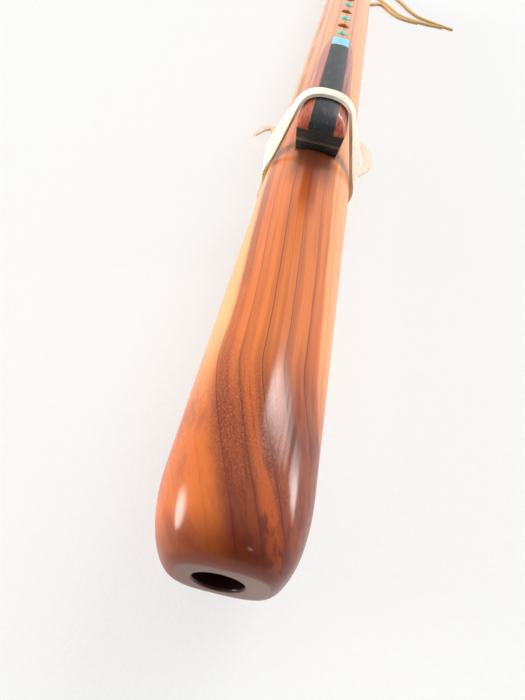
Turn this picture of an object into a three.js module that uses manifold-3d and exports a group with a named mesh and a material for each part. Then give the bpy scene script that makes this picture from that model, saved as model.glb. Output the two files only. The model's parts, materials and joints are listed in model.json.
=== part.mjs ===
// A Native American style flute. Its round cedar body is two glued halves with a slow air chamber, a plug
// and a sound chamber between them. A laminated block sits on a flat nest over the flue, tied down by a
// leather strap, and a second lace with a fringe is wound round the foot. Turquoise dots lie between the
// finger holes.
// Millimetres. X runs from the mouth end to the foot, Y to the left of that, Z up from the floor. The
// origin is on the floor below the middle of the body.
import * as THREE from "three";
import { mergeVertices } from "three/addons/utils/BufferGeometryUtils.js";
import Module from "manifold-3d";

const wasm = await Module();
wasm.setup();

// Clearances that every piece shares, the overrun of every cut and the distance that merges two points
const seatGap = 0.3;
const overrun = 2;
const mergeDistance = 1e-4;

// Body: places along it are measured from the mouth end
const body = {
  length: 672,
  diameter: 38.1,
  boreDiameter: 22.2,
  footEdge: 1.2,
};

// Mouth end: a flat face, a rounded rectangle, that swells into the round body
const mouth = {
  faceHalfWidth: 9.9,
  faceTop: 8,
  faceBottom: 7,
  faceShift: -0.8,
  sideTaper: 24,
  topTaper: 23,
  bottomTaper: 24,
  sidePower: 2.1,
  heightPower: 2.4,
  facePower: 3.1,
  holeDiameter: 11.8,
};

// The two chambers and the plug that parts them
const chambers = {
  slowStart: 26,
  plugStart: 236,
  plugLength: 20,
};

// Voicing: exit hole, flue, sound hole and its splitting edge
const voicing = {
  width: 9.5,
  exitStart: 221,
  exitLength: 7,
  rampLength: 6,
  flueDepth: 0.9,
  soundHoleStart: 262,
  soundHoleLength: 6.5,
  edgeDrop: 0.8,
  edgeRamp: 9,
  undercut: 8,
};

// Nest: the flat that the block sits on
const nest = {
  start: 165.6,
  end: 292,
  depth: 2.15,
  runOut: 14,
};

const fingerHoles = {
  count: 6,
  first: 343.5,
  spacing: 33.8,
  diameter: 8,
  flare: 1,
  flareDepth: 1.1,
};

const dots = {
  count: 7,
  first: 327.5,
  spacing: 33.8,
  diameter: 7.2,
  thickness: 1.9,
  crown: 0.8,
};

// Block: base, ebony core, two cheeks and a turquoise tip, laid up on the base
const block = {
  start: 168,
  length: 112,
  width: 21.2,
  baseHeight: 8.5,
  domeHeight: 7.9,
  ridgeHeight: 4.3,
  ridgeStep: 0.6,
  coreFrontWidth: 10.7,
  coreEndWidth: 8.7,
  tipLength: 24,
  cheekSetback: 8,
  chimneyLength: 20.5,
  chimneyHeight: 5.6,
  domePower: 2.6,
};
// Shares of the block's half width and dome height at shares of its length
const blockWidthShares = [
  [0, 0.95], [0.05, 1], [0.18, 1], [0.42, 0.9], [0.68, 0.84], [0.82, 0.77], [0.9, 0.7], [0.96, 0.62],
  [1, 0.54],
];
const blockHeightShares = [
  [0, 0.1], [0.02, 0.42], [0.055, 0.72], [0.1, 0.9], [0.155, 1], [0.5, 0.99], [0.8, 0.94], [0.9, 0.86],
  [0.96, 0.66], [1, 0.14],
];
const blockStationShares = [
  0, 0.02, 0.05, 0.09, 0.13, 0.17, 0.26, 0.36, 0.46, 0.56, 0.66, 0.74, 0.81, 0.86, 0.9, 0.94, 0.97, 1,
];

// Strap: one flat band wound twice over the block and round the body, its ends in a knot below. Its edge
// towards the mouth is at crestX over the block and at footX below, and the legs between them turn their
// faces towards the mouth by so many degrees.
const strap = {
  width: 6.8,
  thickness: 0.9,
  layerGap: 0.45,
  crestX: 183.4,
  footX: 164.2,
  leanPower: 1.8,
  leftTwist: 28,
  rightTwist: 18,
  edge: 0.25,
  turns: 2,
  endAngle: 20,
  riseAngle: 90,
  bendLength: 10,
  steps: 104,
};

// Lace: a narrower flat band wound side by side round the foot
const lace = {
  width: 4,
  thickness: 1.5,
  turnGap: 1,
  turns: 4,
  footDistance: 51,
  edge: 0.4,
  stepsPerTurn: 24,
};

// Knots: both reach down to the floor and carry the flute
const restDrop = 7.2;
const knots = {
  strapLength: 14,
  strapWidth: 10,
  laceLength: 14,
  laceWidth: 16,
  flatDepth: 0.5,
  power: 3.4,
  waistShare: 0.86,
  tipShare: 0.985,
};

// Free ends: thongs that lie on the floor, each with a point whose tip keeps a share of the width
const tail = { width: 5, thickness: 1.2, edge: 0.3, point: 14, tipShare: 0.3 };
const strand = { width: 4, thickness: 1.5, edge: 0.35, point: 20, tipShare: 0.3 };
const floorClearance = 0.05;

// Places worked out from the sizes above; heights here are from the body's axis
const bodyRadius = body.diameter / 2;
const boreRadius = body.boreDiameter / 2;
const axisHeight = bodyRadius + restDrop;
const nestHeight = bodyRadius - nest.depth;
const baseTop = nestHeight + block.baseHeight;
const crest = baseTop + block.domeHeight;
const blockEnd = block.start + block.length;
const plugEnd = chambers.plugStart + chambers.plugLength;
const nestHalfWidth = Math.sqrt(bodyRadius ** 2 - nestHeight ** 2);
const strapPitch = strap.thickness + strap.layerGap;
const strapStack = seatGap + strapPitch + strap.thickness;
const laceStack = seatGap + lace.thickness;
const lacePitch = lace.width + lace.turnGap;
const laceMiddle = body.length - lace.footDistance;
const strapKnotHeight = restDrop - strapStack - seatGap;
const laceKnotHeight = restDrop - laceStack - seatGap;

// Facet counts
const facets = {
  around: 48,
  bore: 32,
  hole: 24,
  dot: 20,
  crown: 3,
  dome: 14,
  knot: 16,
  mouthRings: 11,
  footRings: 3,
};

// Windings are first traced in fine steps of this many degrees
const traceStep = 2;
const degrees = Math.PI / 180;

const finishes = {
  cedar: { color: 0xa84a1c, roughness: 0.25, metalness: 0 },
  darkWood: { color: 0x1d1512, roughness: 0.45, metalness: 0 },
  ebony: { color: 0x1b1c20, roughness: 0.3, metalness: 0 },
  rosewood: { color: 0x7d2f22, roughness: 0.22, metalness: 0 },
  turquoise: { color: 0x6fcfd0, roughness: 0.35, metalness: 0 },
  strapLeather: { color: 0xefe6cf, roughness: 0.8, metalness: 0 },
  laceLeather: { color: 0xd3a866, roughness: 0.8, metalness: 0 },
};

// A solid that can be cut and joined, from a closed geometry.
function solidOf(geometry) {
  const bare = geometry.index ? geometry.toNonIndexed() : geometry.clone();
  bare.deleteAttribute("normal");
  bare.deleteAttribute("uv");
  const merged = mergeVertices(bare, mergeDistance);
  return new wasm.Manifold(
    new wasm.Mesh({
      numProp: 3,
      vertProperties: merged.attributes.position.array,
      triVerts: new Uint32Array(merged.index.array),
    }),
  );
}

function geometryOf(solid) {
  const mesh = solid.getMesh();
  const geometry = new THREE.BufferGeometry();
  geometry.setAttribute("position", new THREE.BufferAttribute(mesh.vertProperties, 3));
  geometry.setIndex(new THREE.BufferAttribute(mesh.triVerts, 1));
  return geometry;
}

function cutAll(solid, cutters) {
  return cutters.reduce((left, cutter) => left.subtract(cutter), solid);
}

// A closed body through rings of equal count. Each ring turns about the way the rings go, and is convex.
function loft(rings) {
  const count = rings[0].length;
  const last = (rings.length - 1) * count;
  const faces = [];
  for (let r = 0; r < rings.length - 1; r++) {
    for (let i = 0; i < count; i++) {
      const here = r * count + i;
      const next = r * count + ((i + 1) % count);
      faces.push(here, next, next + count, here, next + count, here + count);
    }
  }
  for (let i = 1; i < count - 1; i++) {
    faces.push(0, i + 1, i);
    faces.push(last, last + i, last + i + 1);
  }
  const geometry = new THREE.BufferGeometry();
  geometry.setFromPoints(rings.flat());
  geometry.setIndex(faces);
  return geometry;
}

// Profile of [x, z] points, cut straight through from side to side.
function extrudeAcross(points, width) {
  const shape = new THREE.Shape(points.map(([x, z]) => new THREE.Vector2(x, z)));
  const geometry = new THREE.ExtrudeGeometry(shape, { depth: width, bevelEnabled: false });
  return geometry.rotateX(Math.PI / 2).translate(0, width / 2, 0);
}

// Plan of [x, y] points between two heights.
function extrudeUp(points, low, high) {
  const shape = new THREE.Shape(points.map(([x, y]) => new THREE.Vector2(x, y)));
  const geometry = new THREE.ExtrudeGeometry(shape, { depth: high - low, bevelEnabled: false });
  return geometry.translate(0, 0, low);
}

// Section shape in Y and Z, run along X.
function extrudeAlong(shape, start, end, curveSegments) {
  const settings = { depth: end - start, bevelEnabled: false, curveSegments };
  const geometry = new THREE.ExtrudeGeometry(shape, settings);
  const turn = new THREE.Matrix4().makeBasis(
    new THREE.Vector3(0, 1, 0),
    new THREE.Vector3(0, 0, 1),
    new THREE.Vector3(1, 0, 0),
  );
  return geometry.applyMatrix4(turn).translate(start, 0, 0);
}

function cylinderAlong(radius, start, end, segments) {
  const geometry = new THREE.CylinderGeometry(radius, radius, end - start, segments);
  return geometry.rotateZ(-Math.PI / 2).translate((start + end) / 2, 0, 0);
}

// A bore with round ends, as a ball-nosed cutter leaves it.
function roundBore(radius, start, end, segments) {
  const geometry = new THREE.CapsuleGeometry(radius, end - start - 2 * radius, segments / 4, segments);
  return geometry.rotateZ(-Math.PI / 2).translate((start + end) / 2, 0, 0);
}

// A turned shape whose axis stands up, from [radius, height] points.
function turned(profile, segments) {
  const points = profile.map(([radius, height]) => new THREE.Vector2(radius, height));
  return new THREE.LatheGeometry(points, segments).rotateX(Math.PI / 2);
}

function box(start, end, halfWidth, low, high) {
  const geometry = new THREE.BoxGeometry(end - start, 2 * halfWidth, high - low);
  return geometry.translate((start + end) / 2, 0, (low + high) / 2);
}

// Smooth value at a place along a table of [place, value] rows.
function smoothShare(rows, place) {
  let i = rows.findIndex(([at]) => at >= place);
  i = Math.min(Math.max(i, 1), rows.length - 1);
  // Level at a high or low point, so that no value goes past the rows' own
  const slope = (k) => {
    const before = rows[Math.max(k - 1, 0)];
    const after = rows[Math.min(k + 1, rows.length - 1)];
    const turns = (after[1] - rows[k][1]) * (rows[k][1] - before[1]) <= 0;
    return turns ? 0 : (after[1] - before[1]) / (after[0] - before[0]);
  };
  const [x0, y0] = rows[i - 1];
  const [x1, y1] = rows[i];
  const run = x1 - x0;
  const t = (place - x0) / run;
  const rise = (3 - 2 * t) * t * t;
  return y0 + (y1 - y0) * rise + run * t * (1 - t) * ((1 - t) * slope(i - 1) - t * slope(i));
}

// A superellipse point for an angle, as signed shares of its two half axes.
function superPoint(angle, power) {
  const curved = (value) => (Math.abs(value) < 1e-9 ? 0 : Math.sign(value) * Math.abs(value) ** (2 / power));
  return [curved(Math.cos(angle)), curved(Math.sin(angle))];
}

// How far the mouth end has swollen from its face to the full body, from 0 to 1.
function swell(x, taper, power) {
  const left = Math.max(0, 1 - x / taper);
  return (1 - left ** power) ** (1 / power);
}

function bodyRing(x, inset) {
  const side = swell(x, mouth.sideTaper, mouth.sidePower);
  const top = swell(x, mouth.topTaper, mouth.heightPower);
  const bottom = swell(x, mouth.bottomTaper, mouth.heightPower);
  const halfWidth = THREE.MathUtils.lerp(mouth.faceHalfWidth, bodyRadius, side) - inset;
  const above = THREE.MathUtils.lerp(mouth.faceTop, bodyRadius, top) - inset;
  const below = THREE.MathUtils.lerp(mouth.faceBottom, bodyRadius, bottom) - inset;
  const power = THREE.MathUtils.lerp(mouth.facePower, 2, side);
  const shift = mouth.faceShift * (1 - side);
  return Array.from({ length: facets.around }, (_, i) => {
    const [across, up] = superPoint((i / facets.around) * 2 * Math.PI, power);
    return new THREE.Vector3(x, shift + across * halfWidth, up * (up > 0 ? above : below));
  });
}

function bodyOutline() {
  const taper = Math.max(mouth.sideTaper, mouth.topTaper, mouth.bottomTaper);
  const rings = [];
  for (let i = 0; i <= facets.mouthRings; i++) {
    rings.push(bodyRing(taper * (i / facets.mouthRings) ** 2, 0));
  }
  for (let i = 0; i <= facets.footRings; i++) {
    const angle = ((i / facets.footRings) * Math.PI) / 2;
    const inset = body.footEdge * (1 - Math.cos(angle));
    rings.push(bodyRing(body.length - body.footEdge * (1 - Math.sin(angle)), inset));
  }
  return solidOf(loft(rings));
}

// The hole from the nest down to the slow air chamber, with a ramp up to the flue.
function exitHole() {
  const rampEnd = voicing.exitStart + voicing.exitLength + voicing.rampLength;
  return extrudeAcross(
    [
      [voicing.exitStart, boreRadius / 2],
      [voicing.exitStart + voicing.exitLength, boreRadius / 2],
      [rampEnd, nestHeight - voicing.flueDepth],
      [rampEnd, nestHeight + overrun],
      [voicing.exitStart, nestHeight + overrun],
    ],
    voicing.width,
  );
}

function flue() {
  const start = voicing.exitStart + voicing.exitLength;
  const end = voicing.soundHoleStart + voicing.soundHoleLength / 2;
  return box(start, end, voicing.width / 2, nestHeight - voicing.flueDepth, nestHeight + overrun);
}

// The sound hole: its foot side is a splitting edge with a ramp above it and an undercut below.
function soundHole() {
  const edge = voicing.soundHoleStart + voicing.soundHoleLength;
  const floor = boreRadius / 2;
  return extrudeAcross(
    [
      [voicing.soundHoleStart, floor],
      [edge + voicing.undercut, floor],
      [edge, nestHeight - voicing.edgeDrop],
      [edge + voicing.edgeRamp, nestHeight],
      [edge + voicing.edgeRamp, nestHeight + overrun],
      [voicing.soundHoleStart, nestHeight + overrun],
    ],
    voicing.width,
  );
}

function nestCut() {
  return extrudeAcross(
    [
      [nest.start, nestHeight],
      [nest.end, nestHeight],
      [nest.end + nest.runOut, bodyRadius + overrun],
      [nest.start, bodyRadius + overrun],
    ],
    body.diameter + 2 * overrun,
  );
}

function fingerHole(index) {
  const radius = fingerHoles.diameter / 2;
  const profile = [
    [0, 0],
    [radius, 0],
    [radius, bodyRadius - fingerHoles.flareDepth],
    [radius + fingerHoles.flare, bodyRadius],
    [radius + fingerHoles.flare, bodyRadius + overrun],
    [0, bodyRadius + overrun],
  ];
  return turned(profile, facets.hole).translate(fingerHoles.first + index * fingerHoles.spacing, 0, 0);
}

function dotX(index) {
  return dots.first + index * dots.spacing;
}

function dotPocket(index) {
  const radius = dots.diameter / 2 + seatGap;
  const floor = bodyRadius - dots.thickness - seatGap;
  const profile = [[0, floor], [radius, floor], [radius, bodyRadius + overrun], [0, bodyRadius + overrun]];
  return turned(profile, facets.dot).translate(dotX(index), 0, 0);
}

// An inlaid stone whose crown stands up from the round of the body.
function dot() {
  const radius = dots.diameter / 2;
  const floor = bodyRadius - dots.thickness;
  const shoulder = Math.sqrt(bodyRadius ** 2 - radius ** 2);
  const rise = bodyRadius + dots.crown - shoulder;
  const crown = Array.from({ length: facets.crown }, (_, i) => {
    const angle = ((i + 1) / facets.crown) * (Math.PI / 2);
    return [radius * Math.cos(angle), shoulder + rise * Math.sin(angle)];
  });
  const profile = [[0, floor], [radius, floor], [radius, shoulder], ...crown];
  return turned(profile, facets.dot);
}

function bodyHalves() {
  const cutters = [
    cylinderAlong(mouth.holeDiameter / 2, -overrun, chambers.slowStart + boreRadius, facets.hole),
    roundBore(boreRadius, chambers.slowStart, chambers.plugStart, facets.bore),
    roundBore(boreRadius, plugEnd, body.length + 2 * boreRadius, facets.bore),
    nestCut(),
    exitHole(),
    flue(),
    soundHole(),
    ...Array.from({ length: fingerHoles.count }, (_, i) => fingerHole(i)),
    ...Array.from({ length: dots.count }, (_, i) => dotPocket(i)),
  ];
  const whole = cutAll(bodyOutline(), cutters.map(solidOf));
  const reach = bodyRadius + overrun;
  const upperRoom = solidOf(box(-overrun, body.length + overrun, reach, 0, reach));
  const lowerRoom = solidOf(box(-overrun, body.length + overrun, reach, -reach, 0));
  return { upper: geometryOf(whole.intersect(upperRoom)), lower: geometryOf(whole.intersect(lowerRoom)) };
}

function blockX(share) {
  return block.start + share * block.length;
}

function blockHalfWidth(share) {
  return (block.width / 2) * smoothShare(blockWidthShares, share);
}

// One tier of the base. Its sides lean out where it is wider than the nest, and are upright elsewhere.
function baseTier(low, high, frontStep) {
  const spread = (height, share) => {
    const rise = (height - nestHeight) / block.baseHeight;
    const full = blockHalfWidth(share);
    return THREE.MathUtils.lerp(Math.min(full, nestHalfWidth), full, rise);
  };
  const rings = blockStationShares.map((share, i) => {
    const x = i === 0 ? block.start + frontStep : blockX(share);
    return [
      new THREE.Vector3(x, spread(high, share), high),
      new THREE.Vector3(x, -spread(high, share), high),
      new THREE.Vector3(x, -spread(low, share), low),
      new THREE.Vector3(x, spread(low, share), low),
    ];
  });
  return solidOf(loft(rings));
}

// The tunnel over the sound hole, open to the foot.
function chimney() {
  const halfWidth = voicing.width / 2;
  const springing = nestHeight + block.chimneyHeight - halfWidth / 2;
  const shape = new THREE.Shape();
  shape.moveTo(-halfWidth, nestHeight - overrun);
  shape.lineTo(halfWidth, nestHeight - overrun);
  shape.lineTo(halfWidth, springing);
  shape.absellipse(0, springing, halfWidth, halfWidth / 2, 0, Math.PI);
  shape.lineTo(-halfWidth, nestHeight - overrun);
  return extrudeAlong(shape, blockEnd - block.chimneyLength, blockEnd + overrun, facets.dome / 2);
}

function blockBase() {
  const ridgeTop = nestHeight + block.ridgeHeight;
  const lower = baseTier(nestHeight, ridgeTop, 0);
  const upper = baseTier(ridgeTop, baseTop, block.ridgeStep);
  return geometryOf(lower.add(upper).subtract(solidOf(chimney())));
}

function domeSection(halfWidth, height) {
  return Array.from({ length: facets.dome + 1 }, (_, i) => {
    const [across, up] = superPoint((i / facets.dome) * Math.PI, block.domePower);
    return [across * halfWidth, baseTop + up * height];
  });
}

function blockDome() {
  const rings = blockStationShares.map((share, i) => {
    const x = i === 0 ? block.start + block.ridgeStep : blockX(share);
    const height = block.domeHeight * smoothShare(blockHeightShares, share);
    return domeSection(blockHalfWidth(share), height).map(([y, z]) => new THREE.Vector3(x, y, z));
  });
  return solidOf(loft(rings));
}

// Half the width of the core strip, which narrows from the front to the tip.
function coreHalfWidth(x) {
  const share = (x - block.start) / block.length;
  return THREE.MathUtils.lerp(block.coreFrontWidth, block.coreEndWidth, share) / 2;
}

function stripRoom(start, end) {
  const plan = [
    [start, -coreHalfWidth(start)],
    [end, -coreHalfWidth(end)],
    [end, coreHalfWidth(end)],
    [start, coreHalfWidth(start)],
  ];
  return solidOf(extrudeUp(plan, nestHeight, crest + overrun));
}

function cheekRoom(side) {
  const start = block.start - overrun;
  const end = blockEnd - block.cheekSetback;
  const plan = [
    [start, side * (coreHalfWidth(start) + seatGap)],
    [end, side * (coreHalfWidth(end) + seatGap)],
    [end, side * block.width],
    [start, side * block.width],
  ];
  return solidOf(extrudeUp(side > 0 ? plan : plan.reverse(), nestHeight, crest + overrun));
}

function blockPieces() {
  const dome = blockDome();
  const tipStart = blockEnd - block.tipLength;
  return {
    block_core: geometryOf(dome.intersect(stripRoom(block.start - overrun, tipStart - seatGap))),
    block_turquoise_tip: geometryOf(dome.intersect(stripRoom(tipStart, blockEnd + overrun))),
    block_left_cheek: geometryOf(dome.intersect(cheekRoom(1))),
    block_right_cheek: geometryOf(dome.intersect(cheekRoom(-1))),
  };
}

// Section of a flat band with eased edges, as [out, across] points.
function bandSection(width, thickness, edge) {
  const w = width / 2;
  const t = thickness / 2;
  return [
    [t, edge - w], [t, w - edge], [t - edge, w], [edge - t, w],
    [-t, w - edge], [-t, edge - w], [edge - t, -w], [t - edge, -w],
  ];
}

// A flat band along stations of { at, out, along }: a point of its middle line, the way its face looks
// there and the way the line goes.
function sweepBand(stations, width, thickness, edge, widthShare = () => 1) {
  const section = bandSection(width, thickness, edge);
  const rings = stations.map(({ at, out, along }, i) => {
    const across = along.clone().cross(out).normalize();
    const face = across.clone().cross(along).normalize();
    const share = widthShare(i);
    return section.map(([outward, sideways]) =>
      at.clone().addScaledVector(face, outward).addScaledVector(across, sideways * share),
    );
  });
  return loft(rings);
}

// The same stations, each with the way its line goes, from its neighbours.
function directed(stations) {
  return stations.map((station, i) => {
    const before = stations[Math.max(i - 1, 0)].at;
    const after = stations[Math.min(i + 1, stations.length - 1)].at;
    return { ...station, along: after.clone().sub(before).normalize() };
  });
}

// Stations again, a fixed count of them, spread along their line and closer together where it bends.
function spreadStations(stations, count, bendLength) {
  const along = [0];
  for (let i = 1; i < stations.length; i++) {
    const step = stations[i].at.distanceTo(stations[i - 1].at);
    along.push(along[i - 1] + step + bendLength * stations[i].out.angleTo(stations[i - 1].out));
  }
  let k = 1;
  return Array.from({ length: count + 1 }, (_, i) => {
    const place = (i / count) * along[along.length - 1];
    while (k < along.length - 1 && along[k] < place) k++;
    const t = (place - along[k - 1]) / (along[k] - along[k - 1]);
    return {
      at: stations[k - 1].at.clone().lerp(stations[k].at, t),
      out: stations[k - 1].out.clone().lerp(stations[k].out, t).normalize(),
    };
  });
}

// The middle of a taut band over the body and the block that faces an angle, raised by an offset. Its edge
// towards the mouth stays on them where the band is twisted.
function tautPoint(angle, offset, section) {
  const out = new THREE.Vector3(0, Math.cos(angle), Math.sin(angle));
  const at = out.clone().multiplyScalar(bodyRadius);
  for (const [y, z] of section) {
    const corner = new THREE.Vector3(0, y, z);
    if (corner.dot(out) > at.dot(out)) at.copy(corner);
  }
  const rise = Math.max(0, at.z / crest);
  const twist = (at.y > 0 ? strap.leftTwist : strap.rightTwist) * degrees * Math.sin(rise * Math.PI);
  const face = out.clone().multiplyScalar(Math.cos(twist));
  face.x = -Math.sin(twist);
  at.addScaledVector(out, (strap.width / 2) * Math.sin(twist));
  at.x = THREE.MathUtils.lerp(strap.footX, strap.crestX, rise ** strap.leanPower);
  at.x += (strap.width / 2) * Math.cos(twist);
  at.addScaledVector(face, offset);
  return { at, out: face };
}

function strapStations() {
  const section = domeSection(block.width / 2, block.domeHeight);
  const first = -90 + strap.endAngle;
  const sweep = strap.turns * 360 - 2 * strap.endAngle;
  const fine = [];
  for (let wound = 0; wound <= sweep; wound += traceStep) {
    const passed = Math.floor(wound / 360);
    const late = THREE.MathUtils.smoothstep(wound - passed * 360, 360 - strap.riseAngle, 360);
    const offset = seatGap + strap.thickness / 2 + (passed + late) * strapPitch;
    fine.push(tautPoint((first + wound) * degrees, offset, section));
  }
  return directed(spreadStations(fine, strap.steps, strap.bendLength));
}

function laceStations() {
  const radius = bodyRadius + seatGap + lace.thickness / 2;
  const start = laceMiddle - (lace.turns * lacePitch) / 2;
  const steps = lace.turns * lace.stepsPerTurn;
  const stations = Array.from({ length: steps + 1 }, (_, i) => {
    const turn = i / lace.stepsPerTurn;
    const angle = turn * 2 * Math.PI - Math.PI / 2;
    const out = new THREE.Vector3(0, Math.cos(angle), Math.sin(angle));
    const at = out.clone().multiplyScalar(radius);
    at.x = start + turn * lacePitch;
    return { at, out };
  });
  return directed(stations);
}

// The least distance between two turns of a winding, less the size of the band across that gap. A later
// station is on another turn once the line has faced away in between.
function leastGap(stations, bandSize) {
  let least = Infinity;
  stations.forEach((station, i) => {
    const away = stations.findIndex((other, k) => k > i && other.out.dot(station.out) < 0);
    if (away > 0) {
      const gaps = stations.slice(away).map((other) => other.at.distanceTo(station.at));
      least = Math.min(least, ...gaps);
    }
  });
  return least - bandSize;
}

// A tied knot: two swollen ends and a waist, flat where it rests on the floor.
function knot(length, width, height) {
  const full = height + knots.flatDepth;
  const steps = facets.knot / 2;
  const rings = Array.from({ length: steps + 1 }, (_, i) => {
    const place = -Math.cos((i / steps) * Math.PI);
    const girth = (1 - Math.abs(place * knots.tipShare) ** knots.power) ** (1 / knots.power);
    const waist = THREE.MathUtils.lerp(knots.waistShare, 1, Math.min(1, 2 * Math.abs(place)));
    return Array.from({ length: facets.knot }, (_, k) => {
      const [up, ahead] = superPoint((k / facets.knot) * 2 * Math.PI, knots.power);
      const z = full / 2 - knots.flatDepth + (up * full * girth) / 2;
      return new THREE.Vector3((ahead * width * girth * waist) / 2, (place * length) / 2, z);
    });
  });
  const floorRoom = solidOf(box(-width, width, length, -height, 0));
  return geometryOf(solidOf(loft(rings)).subtract(floorRoom));
}

// A thong that lies on the floor along chosen points, with a pointed end.
function thong(route, size, steps) {
  const rest = size.thickness / 2 + floorClearance;
  const points = route.map(([x, y, lift]) => new THREE.Vector3(x, y, rest + lift));
  const curve = new THREE.CatmullRomCurve3(points, false, "centripetal");
  const length = curve.getLength();
  const out = new THREE.Vector3(0, 0, 1);
  const stations = Array.from({ length: steps + 1 }, (_, i) => {
    return { at: curve.getPointAt(i / steps), out, along: curve.getTangentAt(i / steps) };
  });
  const widthShare = (i) => {
    const left = length * (1 - i / steps);
    return THREE.MathUtils.lerp(size.tipShare, 1, Math.min(1, left / size.point));
  };
  return sweepBand(stations, size.width, size.thickness, size.edge, widthShare);
}

// Routes of the free ends: distance from the mouth end, distance to the left, and lift off the floor
const strapTailLeft = [
  [167.6, 7.4, 0], [167.6, 10, 0], [169.4, 15, 0], [176, 19, 0], [190, 21, 0], [210, 22, 0],
  [232, 22.4, 0], [252, 22.8, 0], [266, 24.4, 0], [273.4, 28.2, 0], [271.8, 32.6, 0], [266, 35.2, 0],
  [259.5, 37.4, 0],
];
const strapTailRight = [
  [167.6, -7.4, 0], [167.6, -10, 0], [169.6, -14.8, 0], [177, -18.8, 0], [196, -20.6, 0],
  [218, -21.6, 0], [234, -23.6, 0], [243, -28, 0], [250, -32, 0], [259, -33.8, 0], [268.5, -32.8, 0],
  [277, -30.2, 0], [283.5, -26.4, 0],
];
const fringeRoute1 = [
  [629.3, -2.8, 0], [634, -3, 0], [641, -4.2, 0], [648.5, -7.5, 0], [654, -13, 0], [656.4, -19.5, 0],
  [655, -26, 0], [650, -31.4, 0], [642, -36.2, 0], [632.5, -41.4, 0], [620.6, -46.6, 0],
  [610, -51.4, 0], [600.6, -56.6, 0], [595.2, -62.6, 0], [592.8, -69.6, 0], [591.6, -77, 0],
  [590.6, -84.5, 0], [590.6, -91, 0], [591.2, -98, 0], [591, -104, 0],
];
const fringeRoute2 = [
  [629.3, 2.8, 0], [636, 2.6, 0], [646, 1.4, 0], [657, -2.4, 0], [666.5, -9, 0], [673, -17.5, 0],
  [676.6, -27, 0], [676.4, -37, 0], [673, -46, 0], [666.5, -53.4, 0], [655.6, -59.4, 0],
  [642.5, -64.2, 0], [629, -69, 0], [617.6, -74.2, 0], [610.4, -79.6, 0], [606.2, -85.4, 0],
  [603, -91.4, 0], [600.8, -97, 0], [598.2, -103, 0], [595.2, -109, 0], [593.2, -115.5, 0],
];
const fringeRoute3 = [
  [616.4, -7.5, 0], [616.3, -11, 0], [614.8, -16.5, 0], [614.2, -22, 0], [617.4, -26.8, 0],
  [622.4, -30.6, 0], [625.2, -34.6, 0], [623.4, -38.6, 0], [616.6, -42, 0], [607.4, -46, 0],
  [598.4, -50.6, 0], [591.2, -56.4, 0], [587.4, -63, 0], [586.2, -70, 0], [586.4, -77, 0],
];

function mesh(name, geometry, finish) {
  const flat = geometry.index ? geometry.toNonIndexed() : geometry;
  flat.computeVertexNormals();
  const material = new THREE.MeshStandardMaterial(finishes[finish]);
  const made = new THREE.Mesh(flat, material);
  made.name = name;
  return made;
}

const flute = new THREE.Group();
flute.position.set(-body.length / 2, 0, axisHeight);

const halves = bodyHalves();
flute.add(mesh("body_upper_half", halves.upper, "cedar"));
flute.add(mesh("body_lower_half", halves.lower, "cedar"));

for (let i = 0; i < dots.count; i++) {
  const inlay = mesh(`turquoise_dot_${i + 1}`, dot(), "turquoise");
  inlay.position.x = dotX(i);
  flute.add(inlay);
}

// The block is its own group, because it slides along the nest
const slidingBlock = new THREE.Group();
slidingBlock.add(mesh("block_base", blockBase(), "darkWood"));
const blockFinishes = {
  block_core: "ebony",
  block_turquoise_tip: "turquoise",
  block_left_cheek: "rosewood",
  block_right_cheek: "rosewood",
};
for (const [name, geometry] of Object.entries(blockPieces())) {
  slidingBlock.add(mesh(name, geometry, blockFinishes[name]));
}
flute.add(slidingBlock);

const strapLine = strapStations();
const strapBand = sweepBand(strapLine, strap.width, strap.thickness, strap.edge);
flute.add(mesh("strap_winding", strapBand, "strapLeather"));
console.log("least gap between strap layers, mm", leastGap(strapLine, strap.thickness).toFixed(2));

const laceLine = laceStations();
const laceBand = sweepBand(laceLine, lace.width, lace.thickness, lace.edge);
flute.add(mesh("foot_lace_winding", laceBand, "laceLeather"));
console.log("least gap between lace turns, mm", leastGap(laceLine, lace.width).toFixed(2));

// What lies on the floor
const onFloor = new THREE.Group();
onFloor.position.x = -body.length / 2;

const strapKnotForm = knot(knots.strapLength, knots.strapWidth, strapKnotHeight);
const strapKnot = mesh("strap_knot", strapKnotForm, "strapLeather");
strapKnot.position.x = strap.footX + strap.width / 2;
onFloor.add(strapKnot);

const laceKnotForm = knot(knots.laceLength, knots.laceWidth, laceKnotHeight);
const laceKnot = mesh("foot_lace_knot", laceKnotForm, "laceLeather");
laceKnot.position.x = laceMiddle;
onFloor.add(laceKnot);

// Name, route, size, steps along it and finish of each thong
const thongs = [
  ["strap_tail_left", strapTailLeft, tail, 20, "strapLeather"],
  ["strap_tail_right", strapTailRight, tail, 18, "strapLeather"],
  ["fringe_strand_1", fringeRoute1, strand, 26, "laceLeather"],
  ["fringe_strand_2", fringeRoute2, strand, 29, "laceLeather"],
  ["fringe_strand_3", fringeRoute3, strand, 22, "laceLeather"],
];
for (const [name, route, size, steps, finish] of thongs) {
  onFloor.add(mesh(name, thong(route, size, steps), finish));
}

const part = new THREE.Group();
part.add(flute, onFloor);

export default part;
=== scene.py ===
# A wooden flute of the Native American kind: lacquered cedar, a laminated block tied on with a
# leather strap, turquoise dots between the finger holes and a leather fringe at the foot.
# Sizes in the dictionaries are millimetres: x from the mouth end, y and z from the body's axis.
import json
import math

import bmesh
import bpy
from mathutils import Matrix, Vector, noise

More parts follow.
